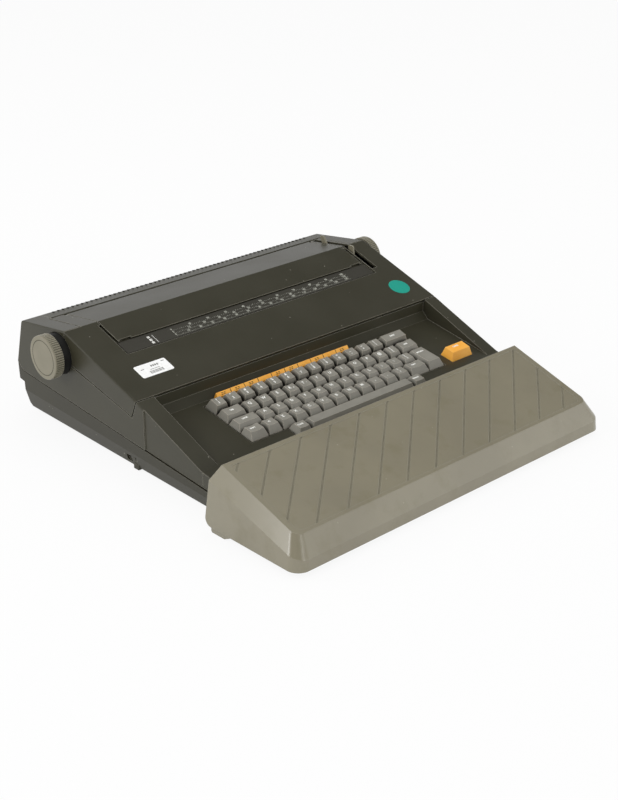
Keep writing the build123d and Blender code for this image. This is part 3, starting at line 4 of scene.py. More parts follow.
import bmesh
import bpy
import numpy as np
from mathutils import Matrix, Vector


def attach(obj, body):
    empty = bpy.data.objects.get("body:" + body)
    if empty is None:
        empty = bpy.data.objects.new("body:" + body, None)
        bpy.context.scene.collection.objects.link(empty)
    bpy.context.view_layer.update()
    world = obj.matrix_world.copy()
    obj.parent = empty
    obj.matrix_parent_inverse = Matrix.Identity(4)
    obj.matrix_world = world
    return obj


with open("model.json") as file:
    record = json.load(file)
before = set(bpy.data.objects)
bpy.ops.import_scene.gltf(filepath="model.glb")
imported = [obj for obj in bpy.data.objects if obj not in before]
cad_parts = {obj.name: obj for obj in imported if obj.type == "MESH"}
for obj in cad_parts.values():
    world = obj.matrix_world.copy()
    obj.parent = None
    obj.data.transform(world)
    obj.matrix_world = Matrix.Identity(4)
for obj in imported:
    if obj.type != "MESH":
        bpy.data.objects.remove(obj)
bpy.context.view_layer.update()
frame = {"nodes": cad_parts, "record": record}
nodes = frame["nodes"]
print("frame loaded:", len(nodes), "CAD nodes")

# Shapes are given in the machine's own millimetres, X across, Y back, Z up from the floor;
# here are its middle and its front face in the frame
machine = {"x": 1.5, "y": -95.65}


def toFrame(points):
    # machine millimetres to the frame's metres: add the machine's place, divide by 1000
    return (np.asarray(points, float) + (machine["x"], machine["y"], 0.0)) / 1000.0


def tilted(y, z, angle):
    # a plane across the machine through (y, z), rising to the rear by the angle
    a = math.radians(angle)
    return {"origin": np.array([0.0, y, z]), "across": np.array([1.0, 0.0, 0.0]),
            "along": np.array([0.0, math.cos(a), math.sin(a)]),
            "out": np.array([0.0, -math.sin(a), math.cos(a)])}


def onPlane(plane, points):
    # point = origin + x * across + y * along + z * out
    p = np.asarray(points, float)
    return (plane["origin"] + p[..., 0:1] * plane["across"] + p[..., 1:2] * plane["along"]
            + p[..., 2:3] * plane["out"])


deck = tilted(30.0, 42.25, 10.3)         # the keyboard's floor
slope = tilted(119.0, 80.5, 18.3)        # the top cover's slope
rear = tilted(239.0, 120.2, -8.0)        # behind the ridge


def meshPiece(name, points, faces, material, body):
    # points in machine millimetres; doubles merged, faces turned outwards
    mesh = bpy.data.meshes.new(name)
    mesh.from_pydata(toFrame(points).tolist(), [], [list(f) for f in faces])
    work = bmesh.new()
    work.from_mesh(mesh)
    bmesh.ops.remove_doubles(work, verts=work.verts, dist=1e-7)
    bmesh.ops.dissolve_degenerate(work, edges=work.edges, dist=1e-8)
    bmesh.ops.recalc_face_normals(work, faces=work.faces)
    work.to_mesh(mesh)
    work.free()
    mesh.materials.append(material)
    piece = bpy.data.objects.new(name, mesh)
    bpy.context.scene.collection.objects.link(piece)
    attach(piece, body)


def gridFaces(rows, columns, closeRows=False, closeColumns=False):
    # quads of a rows x columns grid of points, numbered row by row
    i = np.arange(rows if closeRows else rows - 1)[:, None]
    j = np.arange(columns if closeColumns else columns - 1)[None, :]
    a, b = i, (i + 1) % rows
    c, d = j, (j + 1) % columns
    quads = np.stack([a * columns + c, a * columns + d, b * columns + d, b * columns + c], -1)
    return quads.reshape(-1, 4)


def joinParts(parts):
    # several (points, faces) as one: each part's face numbers move up by the points before it
    points, faces, start = [], [], 0
    for p, f in parts:
        points.append(np.asarray(p, float).reshape(-1, 3))
        faces += [[int(k) + start for k in face] for face in f]
        start += len(points[-1])
    return np.concatenate(points), faces


# A cube's eight corners, in the order in which the faces of every small bar count them
corners = np.array([[-1, -1, -1], [1, -1, -1], [1, 1, -1], [-1, 1, -1],
                    [-1, -1, 1], [1, -1, 1], [1, 1, 1], [-1, 1, 1]], float)


def cubeFaces(count):
    # the six faces of each of many cubes, eight points apart
    one = np.array([[0, 3, 2, 1], [4, 5, 6, 7], [0, 1, 5, 4], [1, 2, 6, 5],
                    [2, 3, 7, 6], [3, 0, 4, 7]])
    return (one[None] + 8 * np.arange(count)[:, None, None]).reshape(-1, 4)


def boxes(centres, sizes):
    # many small bars: centre + half the size times each of a cube's corners
    centres = np.asarray(centres, float).reshape(-1, 3)
    sizes = np.broadcast_to(np.asarray(sizes, float), centres.shape)
    points = centres[:, None, :] + corners[None] * sizes[:, None, :] / 2
    return points.reshape(-1, 3), cubeFaces(len(centres))


def bars(starts, ends, width, low, high):
    # flat bars between pairs of points: each end moved half the width to both sides of the line
    starts, ends = np.asarray(starts, float), np.asarray(ends, float)
    run = ends - starts
    side = np.stack([-run[:, 1], run[:, 0]], -1) * width / 2
    side = side / np.linalg.norm(run, axis=1)[:, None]
    flat = np.stack([starts - side, ends - side, ends + side, starts + side], 1)
    levels = [np.concatenate([flat, np.full((*flat.shape[:2], 1), z)], -1) for z in (low, high)]
    return np.concatenate(levels, 1).reshape(-1, 3), cubeFaces(len(flat))


def patch(width, depth, corner, thick, turns=64):
    # a thin plate: a circle of the corner's radius, each quarter pushed out to its own corner,
    # turned into rings from the middle of the underside out to the edge, up, and back to the
    # middle of the top
    t = (np.arange(turns) + 0.5) * 2 * math.pi / turns
    x = corner * np.cos(t) + np.sign(np.cos(t)) * (width / 2 - corner)
    y = corner * np.sin(t) + np.sign(np.sin(t)) * (depth / 2 - corner)
    share = np.array([0.0, 1.0, 1.0, 0.99, 0.0])[:, None]
    height = np.array([0.0, 0.0, 0.6, 1.0, 1.0])[:, None] * thick
    points = np.stack([share * x, share * y, height + 0 * x], -1)
    return points.reshape(-1, 3), gridFaces(5, turns, closeColumns=True)


def words(text, capital, thick, bold=0.0):
    # text as a flat solid in millimetres, centred; capital is the height of a capital letter,
    # 0.69 of the size in the built-in font, and bold moves every outline outwards
    curve = bpy.data.curves.new("words", "FONT")
    curve.body = text
    curve.size = capital / 0.69
    curve.align_x, curve.align_y = "CENTER", "CENTER"
    curve.extrude, curve.offset = thick / 2, bold
    curve.resolution_u = 3
    holder = bpy.data.objects.new("words", curve)
    bpy.context.scene.collection.objects.link(holder)
    mesh = bpy.data.meshes.new_from_object(holder)
    points = np.empty(len(mesh.vertices) * 3)
    mesh.vertices.foreach_get("co", points)
    faces = [list(p.vertices) for p in mesh.polygons]
    bpy.data.objects.remove(holder)
    bpy.data.meshes.remove(mesh)
    return points.reshape(-1, 3), faces


def colour(code):
    # sRGB hex to linear: c / 12.92 below 0.04045, else ((c + 0.055) / 1.055) ^ 2.4
    parts = [int(code[i:i + 2], 16) / 255 for i in (1, 3, 5)]
    return [c / 12.92 if c <= 0.04045 else ((c + 0.055) / 1.055) ** 2.4 for c in parts] + [1.0]


def add(tree, kind, settings=None, links=None):
    # one node: settings are its own values or sockets by name, links feed its sockets
    node = tree.nodes.new("ShaderNode" + kind)
    for key, value in (settings or {}).items():
        if isinstance(key, int) or key in node.inputs:
            node.inputs[key].default_value = value
        else:
            setattr(node, key, value)
    for key, source in (links or {}).items():
        tree.links.new(source, node.inputs[key])
    return node


def startMaterial(name):
    material = bpy.data.materials.new(name)
    material.use_nodes = True
    material.node_tree.nodes.clear()
    return material, material.node_tree


def plastic(name, look):
    # Moulded plastic. look: base and second colour of the slow mottling (mm), grain (mm) and its
    # bump height (mm), roughness and gloss, the width (mm) of its rounded edges and their paler
    # colour (wear and painted highlight), dust, stains, and the darker colour of hollows up to a
    # width (mm), painted shade with some grime.
    material, tree = startMaterial(name)
    where = add(tree, "TexCoord").outputs["Object"]
    slow = add(tree, "TexNoise", {"Scale": 1000 / look["mottle"], "Detail": 3.0}, {"Vector": where})
    share = add(tree, "MapRange", {"From Min": 0.35, "From Max": 0.65}, {0: slow.outputs[0]})
    tint = add(tree, "Mix", {"data_type": "RGBA", 6: colour(look["base"]),
                             7: colour(look["second"])}, {0: share.outputs[0]}).outputs[2]
    if "dust" in look:
        # pale specks: a Voronoi cell of 9 mm holds a speck where the distance to its point is
        # small and its own random value is high
        cells = add(tree, "TexVoronoi", {"Scale": 1000 / 9.0}, {"Vector": where})
        near = add(tree, "MapRange", {"From Min": 0.08, "From Max": 0.05, "To Max": look["dust"]},
                   {0: cells.outputs["Distance"]})
        random = add(tree, "SeparateColor", {}, {0: cells.outputs["Color"]})
        rare = add(tree, "MapRange", {"From Min": 0.86, "From Max": 0.9}, {0: random.outputs[0]})
        speck = add(tree, "Math", {"operation": "MULTIPLY"},
                    {0: near.outputs[0], 1: rare.outputs[0]})
        tint = add(tree, "Mix", {"data_type": "RGBA", 7: colour("#b9b5a6")},
                   {0: speck.outputs[0], 6: tint}).outputs[2]
    if "stain" in look:
        # handling marks: only the peaks of a ragged noise show
        blots = add(tree, "TexNoise", {"Scale": 1000 / 28.0, "Detail": 6.0, "Roughness": 0.6},
                    {"Vector": where})
        spread = add(tree, "MapRange", {"From Min": 0.54, "From Max": 0.74, "To Max": 0.5},
                     {0: blots.outputs[0]})
        tint = add(tree, "Mix", {"data_type": "RGBA", 7: colour(look["stain"])},
                   {0: spread.outputs[0], 6: tint}).outputs[2]
    if "grimeAndShade" in look:
        # where most of the half sphere over a point is blocked, the colour goes to the darker one
        # given:
        # painted shade in hollows, seams and gaps, with some grime
        free = add(tree, "AmbientOcclusion", {"samples": 8, "Distance": look["hollow"] / 1000})
        deep = add(tree, "MapRange", {"From Min": look.get("open", 0.55), "To Max": look["grimeAndShade"],
                                      "From Max": look.get("packed", 0.25)},
                   {0: free.outputs["AO"]})
        tint = add(tree, "Mix", {"data_type": "RGBA", 7: colour(look["grimeAndShadeColour"])},
                   {0: deep.outputs[0], 6: tint}).outputs[2]
    grain = add(tree, "TexNoise", {"Scale": 1000 / look["grain"], "Detail": 2.0}, {"Vector": where})
    soft = add(tree, "Bevel", {"samples": 6, "Radius": look.get("edge", 0.5) / 1000})
    if "wornAndHighlit" in look:
        # how far the rounded normal leaves the flat one is high only beside an edge; there the
        # colour goes paler, as wear and painted highlight
        flat = add(tree, "NewGeometry").outputs["True Normal"]
        agree = add(tree, "VectorMath", {"operation": "DOT_PRODUCT"},
                    {0: soft.outputs[0], 1: flat})
        edge = add(tree, "MapRange", {"From Min": 0.995, "From Max": 0.85, "To Max": look["wearAndHighlight"]},
                   {0: agree.outputs["Value"]})
        tint = add(tree, "Mix", {"data_type": "RGBA", 7: colour(look["wornAndHighlit"])},
                   {0: edge.outputs[0], 6: tint}).outputs[2]
    bump = add(tree, "Bump", {"Strength": 0.35, "Distance": look["height"] / 1000},
               {"Height": grain.outputs[0], "Normal": soft.outputs[0]})
    rough = add(tree, "MapRange", {"To Min": look["rough"] - 0.06, "To Max": look["rough"] + 0.06},
                {0: slow.outputs[0]})
    shader = add(tree, "BsdfPrincipled", {"IOR": 1.5, "Specular IOR Level": look.get("gloss", 0.5)},
                 {"Base Color": tint, "Roughness": rough.outputs[0], "Normal": bump.outputs[0]})
    add(tree, "OutputMaterial", {}, {"Surface": shader.outputs[0]})
    return material


def metal(name, look):
    # Metal. look: base and second colour of its brushing lines or crystals, their size (mm) and
    # how they are stretched along X, Y and Z, and roughness.
    material, tree = startMaterial(name)
    where = add(tree, "TexCoord").outputs["Object"]
    stretch = add(tree, "Mapping", {"Scale": look.get("stretch", (1, 1, 1))}, {"Vector": where})
    grain = add(tree, "TexNoise", {"Scale": 1000 / look["grain"], "Detail": 3.0},
                {"Vector": stretch.outputs[0]})
    tint = add(tree, "Mix", {"data_type": "RGBA", 6: colour(look["base"]),
                             7: colour(look["second"])}, {0: grain.outputs[0]})
    rough = add(tree, "MapRange", {"To Min": look["rough"] - 0.08, "To Max": look["rough"] + 0.12},
                {0: grain.outputs[0]})
    soft = add(tree, "Bevel", {"samples": 4, "Radius": 0.3 / 1000})
    bump = add(tree, "Bump", {"Strength": 0.2, "Distance": 0.02 / 1000},
               {"Height": grain.outputs[0], "Normal": soft.outputs[0]})
    shader = add(tree, "BsdfPrincipled", {"Metallic": 1.0},
                 {"Base Color": tint.outputs[2], "Roughness": rough.outputs[0],
                  "Normal": bump.outputs[0]})
    add(tree, "OutputMaterial", {}, {"Surface": shader.outputs[0]})
    return material


# Dark olive ABS of the casing, moulded with a fine spark texture: dull, with paler edges as wear
# and painted highlight, and its seams and hollows darkened nearly to black as painted shade
darkCasing = plastic("darkOliveMouldedAbs", {
    "base": "#383629", "second": "#3c3a2d", "grain": 0.7, "height": 0.03, "rough": 0.38,
    "gloss": 0.33, "wornAndHighlit": "#a4a092", "edge": 0.9, "wearAndHighlight": 0.8, "dust": 0.7, "mottle": 60.0,
    "grimeAndShade": 0.85, "hollow": 5.0, "grimeAndShadeColour": "#0e0d0b"})
# The base pan under it: the same ABS, duller, and its colour a little darker as painted shade
shadedBase = plastic("darkOliveBaseAbsPaintedShade", {
    "base": "#36342a", "second": "#3b392e", "grain": 0.7, "height": 0.04, "rough": 0.45,
    "gloss": 0.29, "wornAndHighlit": "#8b877a", "edge": 0.8, "wearAndHighlight": 0.6, "dust": 0.7, "mottle": 60.0,
    "grimeAndShade": 0.85, "hollow": 5.0, "grimeAndShadeColour": "#0e0d0b"})
# Warm grey ABS of the keyboard cover, same texture, slightly yellowed and handled; paler edges
# as wear and painted highlight, hollows darkened as grime and painted shade
greyCover = plastic("warmGreyMouldedAbs", {
    "base": "#88826e", "second": "#827c69", "grain": 0.8, "height": 0.04, "rough": 0.24,
    "gloss": 0.75, "wornAndHighlit": "#b4b2a1", "edge": 0.8, "wearAndHighlight": 0.4, "dust": 0.5, "mottle": 70.0,
    "stain": "#787158", "grimeAndShade": 0.5, "hollow": 3.0, "grimeAndShadeColour": "#5c5648"})
# Grey PBT of the key caps: fine satin, with paler edges as painted highlight and wear, and the
# lower sides and gaps between caps darkened nearly to black as painted shade
greyKeys = plastic("greySatinKeyPbt", {
    "base": "#87847a", "second": "#8d8a80", "grain": 0.6, "height": 0.02, "rough": 0.42,
    "wornAndHighlit": "#d6cab6", "edge": 0.55, "wearAndHighlight": 1.0, "mottle": 12.0, "grimeAndShade": 1.0, "hollow": 11.0,
    "open": 0.6, "packed": 0.34, "grimeAndShadeColour": "#070605"})
# Orange ABS of the correction key and the label strip, with paler edges as wear and painted
# highlight
orangeKeys = plastic("orangeMouldedAbs", {
    "base": "#ffb23a", "second": "#ffb94a", "grain": 0.6, "height": 0.02, "rough": 0.42,
    "wornAndHighlit": "#ffd08a", "edge": 0.4, "wearAndHighlight": 0.6, "mottle": 20.0})
# Light grey ABS of the knobs and levers, with paler edges and rib crests as wear and painted
# highlight, and hollows darkened as painted shade
lightGrey = plastic("lightGreyMouldedAbs", {
    "base": "#827c69", "second": "#7c7764", "grain": 0.6, "height": 0.03, "rough": 0.36,
    "wornAndHighlit": "#cfccbc", "edge": 0.6, "wearAndHighlight": 0.7, "mottle": 18.0, "grimeAndShade": 0.8, "hollow": 2.0,
    "grimeAndShadeColour": "#2a2820"})
# Black nylon of the carriage, cassette, collars and sockets
blackPlastic = plastic("blackMouldedNylon", {
    "base": "#171715", "second": "#1d1d1b", "grain": 0.7, "height": 0.03, "rough": 0.5,
    "gloss": 0.28, "mottle": 25.0})
# Ivory acetal of gears, pulleys and the print wheel: waxy
gearPlastic = plastic("ivoryMouldedAcetal", {
    "base": "#d9d3bf", "second": "#cfc8b2", "grain": 0.8, "height": 0.01, "rough": 0.35,
    "mottle": 20.0})
# Smoked acrylic of the pitch scale: smooth and glossier than the casing
clearScale = plastic("smokedAcrylic", {
    "base": "#3b3932", "second": "#3e3c34", "grain": 1.5, "height": 0.005, "rough": 0.3,
    "mottle": 80.0})
# Black rubber of platen, rollers, belt, feet and paper rest: ground, dull, with a bloom
blackRubber = plastic("blackGroundRubber", {
    "base": "#1b1a19", "second": "#2a2927", "grain": 0.5, "height": 0.05, "rough": 0.75,
    "mottle": 14.0})
# Zinc-plated sheet steel: pale, faintly blue, soft crystal mottling
zincSteel = metal("zincPlatedSheetSteel", {
    "base": "#b7bcbf", "second": "#a3a7a8", "grain": 3.0, "rough": 0.34})
# Ground bright steel of shafts and rods: lines round the bar
brightSteel = metal("groundBrightSteel", {
    "base": "#c9c9c6", "second": "#b4b4b1", "grain": 0.8, "rough": 0.2, "stretch": (6, 1, 1)})
# Drawn steel cans of the motors and the solenoid
motorSteel = metal("drawnMotorSteel", {
    "base": "#a9a9a4", "second": "#8d8d88", "grain": 1.2, "rough": 0.36, "stretch": (1, 4, 1)})
# Stacked and varnished silicon steel of the transformer's core
coreSteel = metal("laminatedCoreSteel", {
    "base": "#5b5650", "second": "#3e3a36", "grain": 0.5, "rough": 0.45, "stretch": (1, 0.1, 6)})


def boardMaterial():
    # Phenolic circuit board: green lacquer over copper tracks, drawn as bricks of 12 mm
    material, tree = startMaterial("lacqueredCircuitBoard")
    where = add(tree, "TexCoord").outputs["Object"]
    bricks = add(tree, "TexBrick", {"Scale": 1000 / 12.0, "Mortar Size": 0.06, "offset": 0.37,
                                    "Color1": colour("#2f5a3a"), "Color2": colour("#2b5136"),
                                    "Mortar": colour("#4f7a45")}, {"Vector": where})
    noise = add(tree, "TexNoise", {"Scale": 1000 / 30.0}, {"Vector": where})
    tint = add(tree, "Mix", {"data_type": "RGBA", "blend_type": "MULTIPLY", 0: 0.4},
               {6: bricks.outputs[0], 7: noise.outputs[1]})
    shader = add(tree, "BsdfPrincipled", {"Roughness": 0.35, "IOR": 1.5},
                 {"Base Color": tint.outputs[2]})
    add(tree, "OutputMaterial", {}, {"Surface": shader.outputs[0]})
    return material


circuitBoard = boardMaterial()


def ink(name, look):
    # Print or paper: a flat colour broken by its fibres or by wear, dull
    material, tree = startMaterial(name)
    where = add(tree, "TexCoord").outputs["Object"]
    noise = add(tree, "TexNoise", {"Scale": 1000 / look["grain"], "Detail": 3.0}, {"Vector": where})
    share = add(tree, "MapRange", {"From Min": 0.3, "From Max": 0.7}, {0: noise.outputs[0]})
    tint = add(tree, "Mix", {"data_type": "RGBA", 6: colour(look["base"]),
                             7: colour(look["second"])}, {0: share.outputs[0]})
    shader = add(tree, "BsdfPrincipled", {"Roughness": look["rough"], "IOR": 1.45},
                 {"Base Color": tint.outputs[2]})
    add(tree, "OutputMaterial", {}, {"Surface": shader.outputs[0]})
    return material


# White two-shot legends; scale print worn to grey; coated label paper and its ink; vinyl of the
# round sticker; dirt packed in the cover's grooves; painted shade in the knobs' grooves; print of
# the orange strip
inks = {
    "whiteLegendPbt": {"base": "#fbfbf6", "second": "#f0f0ea", "grain": 1.0, "rough": 0.5},
    "wornPaleScreenPrint": {"base": "#cfd0c4", "second": "#85857a", "grain": 1.4, "rough": 0.5},
    "whiteCoatedPaper": {"base": "#ffffff", "second": "#f6f6f3", "grain": 3.0, "rough": 0.45},
    "greyLabelInk": {"base": "#6f6f6c", "second": "#8e8e8a", "grain": 0.8, "rough": 0.6},
    "tealStickerVinyl": {"base": "#0c9c88", "second": "#12a08c", "grain": 6.0, "rough": 0.35},
    "dirtInGrooves": {"base": "#6c6755", "second": "#7f7a67", "grain": 7.0, "rough": 0.7},
    "paintedShadeInKnobGrooves": {"base": "#4d4a3c", "second": "#5f5b4a", "grain": 3.0, "rough": 0.7},
    "darkStripPrint": {"base": "#3b2c14", "second": "#5a441f", "grain": 1.0, "rough": 0.55}}
(whiteLegend, scalePrint, labelPaper, labelInk,
 tealVinyl, grooveDirt, knobGrooveShade, darkInk) = [ink(name, look) for name, look in inks.items()]

finishes = {
    "dark_casing": darkCasing, "grey_cover": greyCover, "key_plastic": greyKeys,
    "orange_plastic": orangeKeys, "light_plastic": lightGrey, "black_plastic": blackPlastic,
    "clear_scale": clearScale, "rubber_black": blackRubber, "zinc_steel": zincSteel,
    "bright_steel": brightSteel, "motor_steel": motorSteel, "board": circuitBoard,
    "core_steel": coreSteel, "gear_plastic": gearPlastic}
for entry in frame["record"]["subparts"]:
    mesh = nodes[entry["node"]].data
    mesh.materials.clear()
    finish = finishes[entry["material_slot"]]
    # the base pan takes the casing's ABS darkened a little as painted shade
    mesh.materials.append(shadedBase if entry["node"] == "base_pan" else finish)
print("materials set")

# The keys' grid and caps by row, number row first, and the print on them, in the deck's plane
keyboard = {
    "pitch": 19.05, "left": -143.975, "gap": 1.4,
    "frontInset": {1: 2.8, 2: 4.5, 3: 5.5, 4: 6.6, 5: 4.0},
    "frontHeight": {1: 9.6, 2: 6.9, 3: 6.3, 4: 7.0, 5: 7.2},
    "rearHeight": {1: 11.1, 2: 7.8, 3: 6.2, 4: 6.5, 5: 7.0},
    "topDepth": 10.8, "dishRadius": 35.0, "dishSag": 0.6, "print": 0.16, "bold": 0.14}


def keyCap(row, deep=1):
    # a key's front and rear faces and the two ends (y, z) of its top, in the deck's plane
    u, gap, rearRow = keyboard["pitch"], keyboard["gap"], row - deep + 1
    front = (4 - row) * u + gap / 2
    topFront = front + keyboard["frontInset"][row]
    topBack = (4 - rearRow) * u + keyboard["frontInset"][rearRow] + keyboard["topDepth"]
    return {"front": front, "back": front + u * deep - gap,
            "topFront": topFront, "topBack": topBack,
            "low": keyboard["frontHeight"][row], "high": keyboard["rearHeight"][rearRow]}


def capHeight(cap, y, dx, dished):
    # the tilted plane z = low + (y - topFront) * slope, and where the top is dished the lower of it
    # and the cylinder z = mid + r - sag + (y - yMid) * slope - sqrt(r^2 - dx^2) / cos(tilt)
    slant = (cap["high"] - cap["low"]) / (cap["topBack"] - cap["topFront"])
    plane = cap["low"] + (y - cap["topFront"]) * slant
    if not dished:
        return plane
    r, mid = keyboard["dishRadius"], (cap["low"] + cap["high"]) / 2
    bowl = (mid + r - keyboard["dishSag"] + (y - (cap["front"] + cap["back"]) / 2) * slant
            - np.sqrt(r ** 2 - dx ** 2) * math.sqrt(1 + slant ** 2))
    return np.minimum(plane, bowl)


def legend(text, x, y, cap, middle, capital, dished):
    # text let into a key's top, standing half its thickness proud of it
    points, faces = words(text, capital, keyboard["print"], keyboard["bold"])
    points = points + (x, y, 0)
    points[:, 2] += capHeight(cap, points[:, 1], points[:, 0] - middle, dished)
    return onPlane(deck, points), faces


# Each row: its number, where it starts in key pitches, and what each key says, second sign last
rowLegends = {
    "number_row": (1, 0.0, ["1!", '2"', "3#", "4$", "5%", "6&", "7'", "8(", "9)", "0=", "-_",
                            "^~", "\\|"]),
    "upper_row": (2, 1.5, ["Q", "W", "E", "R+", "T*", "Y", "U", "I.", "O", "P", "@", "[{"]),
    "home_row": (3, 1.75, ["A", "S", "D", "F", "G", "H", "J", "K", "L", ";", ":", "]}"]),
    "lower_row": (4, 1.25, ["<", "Z", "X-", "C.", "V.", "B", "N", "M", ",", ".", "/?"])}
# Each wide key: what it says, its front row, its start and width in pitches, the rows it covers
wideLegends = {
    "backspace": ("BACK", 1, 13.0, 2.0, 1), "tab": ("TAB", 2, 0.0, 1.5, 1),
    "margin": ("MAR", 2, 13.5, 1.5, 1), "lock": ("LOCK", 3, 0.0, 1.75, 1),
    "return": ("RETURN", 4, 13.75, 1.25, 2), "left_shift": ("SHIFT", 4, 0.0, 1.25, 1),
    "right_shift": ("SHIFT", 4, 12.25, 1.5, 1), "code": ("CODE", 5, 2.5, 1.0, 1),
    "repeat": ("REPEAT", 5, 11.5, 1.0, 1)}
# Height of a capital, and where a sign stands from the middle of a key's top (x, y)
legendSizes = {"letter": 3.5, "pair": 3.0, "second": 1.8, "word": 1.9}
legendPlaces = {"rear": (-0.6, 2.7), "front": (-0.6, -1.9), "alone": (-0.4, 0.7),
                "beside": (-1.6, 0.7), "second": (2.9, -0.6)}
# A word stands left of the middle and in from the top's rear edge, by the rows its key covers;
# keys narrower than this many pitches have a dished top
wideWord = {"aside": 1.0, "inset": {1: 4.4, 2: 7.0}, "dishedBelow": 1.6}


def signsOf(row, text):
    # what a character key says: (sign, its place, its size)
    if row == 1 or text[-1] in "}?{":
        return [(text[1], "rear", "pair"), (text[0], "front", "pair")]
    if len(text) == 2:
        return [(text[0], "beside", "letter"), (text[1], "second", "second")]
    return [(text, "alone", "letter")]


def makeLegends():
    u = keyboard["pitch"]
    for body, (row, start, texts) in rowLegends.items():
        cap = keyCap(row)
        parts = []
        for i, text in enumerate(texts):
            middle = keyboard["left"] + (start + i + 0.5) * u
            for sign, place, size in signsOf(row, text):
                x = middle + legendPlaces[place][0]
                y = (cap["topFront"] + cap["topBack"]) / 2 + legendPlaces[place][1]
                parts.append(legend(sign, x, y, cap, middle, legendSizes[size], True))
        points, faces = joinParts(parts)
        meshPiece(body + "_legends", points, faces, whiteLegend, body)
    for body, (text, row, start, width, deep) in wideLegends.items():
        cap = keyCap(row, deep)
        middle = keyboard["left"] + (start + width / 2) * u
        points, faces = legend(
            text, middle - wideWord["aside"], cap["topBack"] - wideWord["inset"][deep], cap,
            middle, legendSizes["word"], width < wideWord["dishedBelow"] and deep == 1)
        meshPiece(body + "_legend", points, faces, whiteLegend, body)


makeLegends()

# The flat top of the orange key from front to rear, and its word
orangeTop = {"front": 4.0, "back": 16.4, "low": 8.6, "high": 9.6, "middle": 171.6,
             "aside": 1.0, "inset": 4.0, "capital": 2.2}


def makeOrangeLegend():
    points, faces = words("CORR", orangeTop["capital"], keyboard["print"], keyboard["bold"])
    points = points + (orangeTop["middle"] - orangeTop["aside"],
                       orangeTop["back"] - orangeTop["inset"], 0)
    share = (points[:, 1] - orangeTop["front"]) / (orangeTop["back"] - orangeTop["front"])
    points[:, 2] += orangeTop["low"] + (orangeTop["high"] - orangeTop["low"]) * share
    meshPiece("orange_legend", onPlane(deck, points), faces, whiteLegend, "orange")


makeOrangeLegend()
print("legends made")

# Marks on the label strip behind the keys: its tilted face from front to rear (y, z), a line at
# each key's end, and dashes in some segments, in two rows at a share of the face's depth
strip = {"left": keyboard["left"] + keyboard["pitch"], "segments": 10, "pitch": keyboard["pitch"],
         "front": (77.8, 3.6), "rear": (81.6, 7.2), "thick": 0.1, "line": 0.8, "lineShare": 0.96,
         "dash": (2.4, 0.7), "dashed": (0, 1, 2, 4, 5, 7, 9), "rows": (0.35, 0.65),
         "aside": (-2.0, 1.2)}


def makeStripMarks():
    # flat bars square to the strip's face
    (y0, z0), (y1, z1) = strip["front"], strip["rear"]
    run = math.hypot(y1 - y0, z1 - z0)
    face = {"origin": onPlane(deck, (0, y0, z0)), "across": deck["across"],
            "along": ((y1 - y0) * deck["along"] + (z1 - z0) * deck["out"]) / run,
            "out": (-(z1 - z0) * deck["along"] + (y1 - y0) * deck["out"]) / run}
    lines = strip["left"] + strip["pitch"] * np.arange(1, strip["segments"])
    centres = np.stack([lines, np.full(len(lines), run / 2), np.zeros(len(lines))], -1)
    spots = [[strip["left"] + strip["pitch"] * (segment + 0.5) + aside, run * row, 0]
             for segment in strip["dashed"] for row in strip["rows"] for aside in strip["aside"]]
    points, faces = joinParts([
        boxes(centres, (strip["line"], run * strip["lineShare"], strip["thick"])),
        boxes(spots, (*strip["dash"], strip["thick"]))])
    meshPiece("strip_marks", onPlane(face, points), faces, darkInk, "root")


makeStripMarks()

# Print on the pitch scale: a row of ticks and numbers each for 10, 12 and 15 to the inch, with
# its y, and at the left a box for each row and an upright bar
scale = {"left": -112.0, "right": 148.0, "rows": ((10, 81.6), (12, 77.0), (15, 72.4)),
         "inch": 25.4, "top": -1.2, "thick": 0.08, "tickWidth": 0.36, "tick": 1.0,
         "longTick": 1.7, "longEvery": 5, "tickFoot": -1.9, "number": 2.6, "numberEvery": 10,
         "numberUp": 0.9, "bold": 0.1, "boxX": -143.0, "box": 3.1, "boxNumber": 1.7,
         "boxProud": 0.05, "barX": -137.4, "bar": (0.45, 13.0)}


def makeScalePrint():
    parts = []
    for pitch, y in scale["rows"]:
        step = scale["inch"] / pitch
        marks = np.arange(int((scale["right"] - scale["left"]) / step) + 1)
        tall = np.where(marks % scale["longEvery"] == 0, scale["longTick"], scale["tick"])
        level = np.ones(len(marks))
        centres = np.stack([scale["left"] + step * marks, y + scale["tickFoot"] + tall / 2,
                            level * scale["top"]], -1)
        sizes = np.stack([level * scale["tickWidth"], tall, level * scale["thick"]], -1)
        parts.append(boxes(centres, sizes))
        for k in range(0, len(marks), scale["numberEvery"]):
            p, f = words(str(k), scale["number"], scale["thick"], scale["bold"])
            parts.append((p + (scale["left"] + step * k, y + scale["numberUp"], scale["top"]), f))
    points, faces = joinParts(parts)
    meshPiece("scale_print", onPlane(slope, points), faces, scalePrint, "root")
    rows = np.array([y for pitch, y in scale["rows"]])
    spots = np.stack([np.full(3, scale["boxX"]), rows, np.full(3, scale["top"])], -1)
    points, faces = joinParts([
        boxes(spots, (scale["box"], scale["box"], scale["thick"])),
        boxes([[scale["barX"], rows.mean(), scale["top"]]], (*scale["bar"], scale["thick"]))])
    meshPiece("scale_boxes", onPlane(slope, points), faces, whiteLegend, "root")
    parts = []
    for pitch, y in scale["rows"]:
        p, f = words(str(pitch), scale["boxNumber"], scale["thick"])
        parts.append((p + (scale["boxX"], y, scale["top"] + scale["boxProud"]), f))
    points, faces = joinParts(parts)
    meshPiece("scale_box_numbers", onPlane(slope, points), faces, darkInk, "root")


makeScalePrint()
print("strip and scale printed")

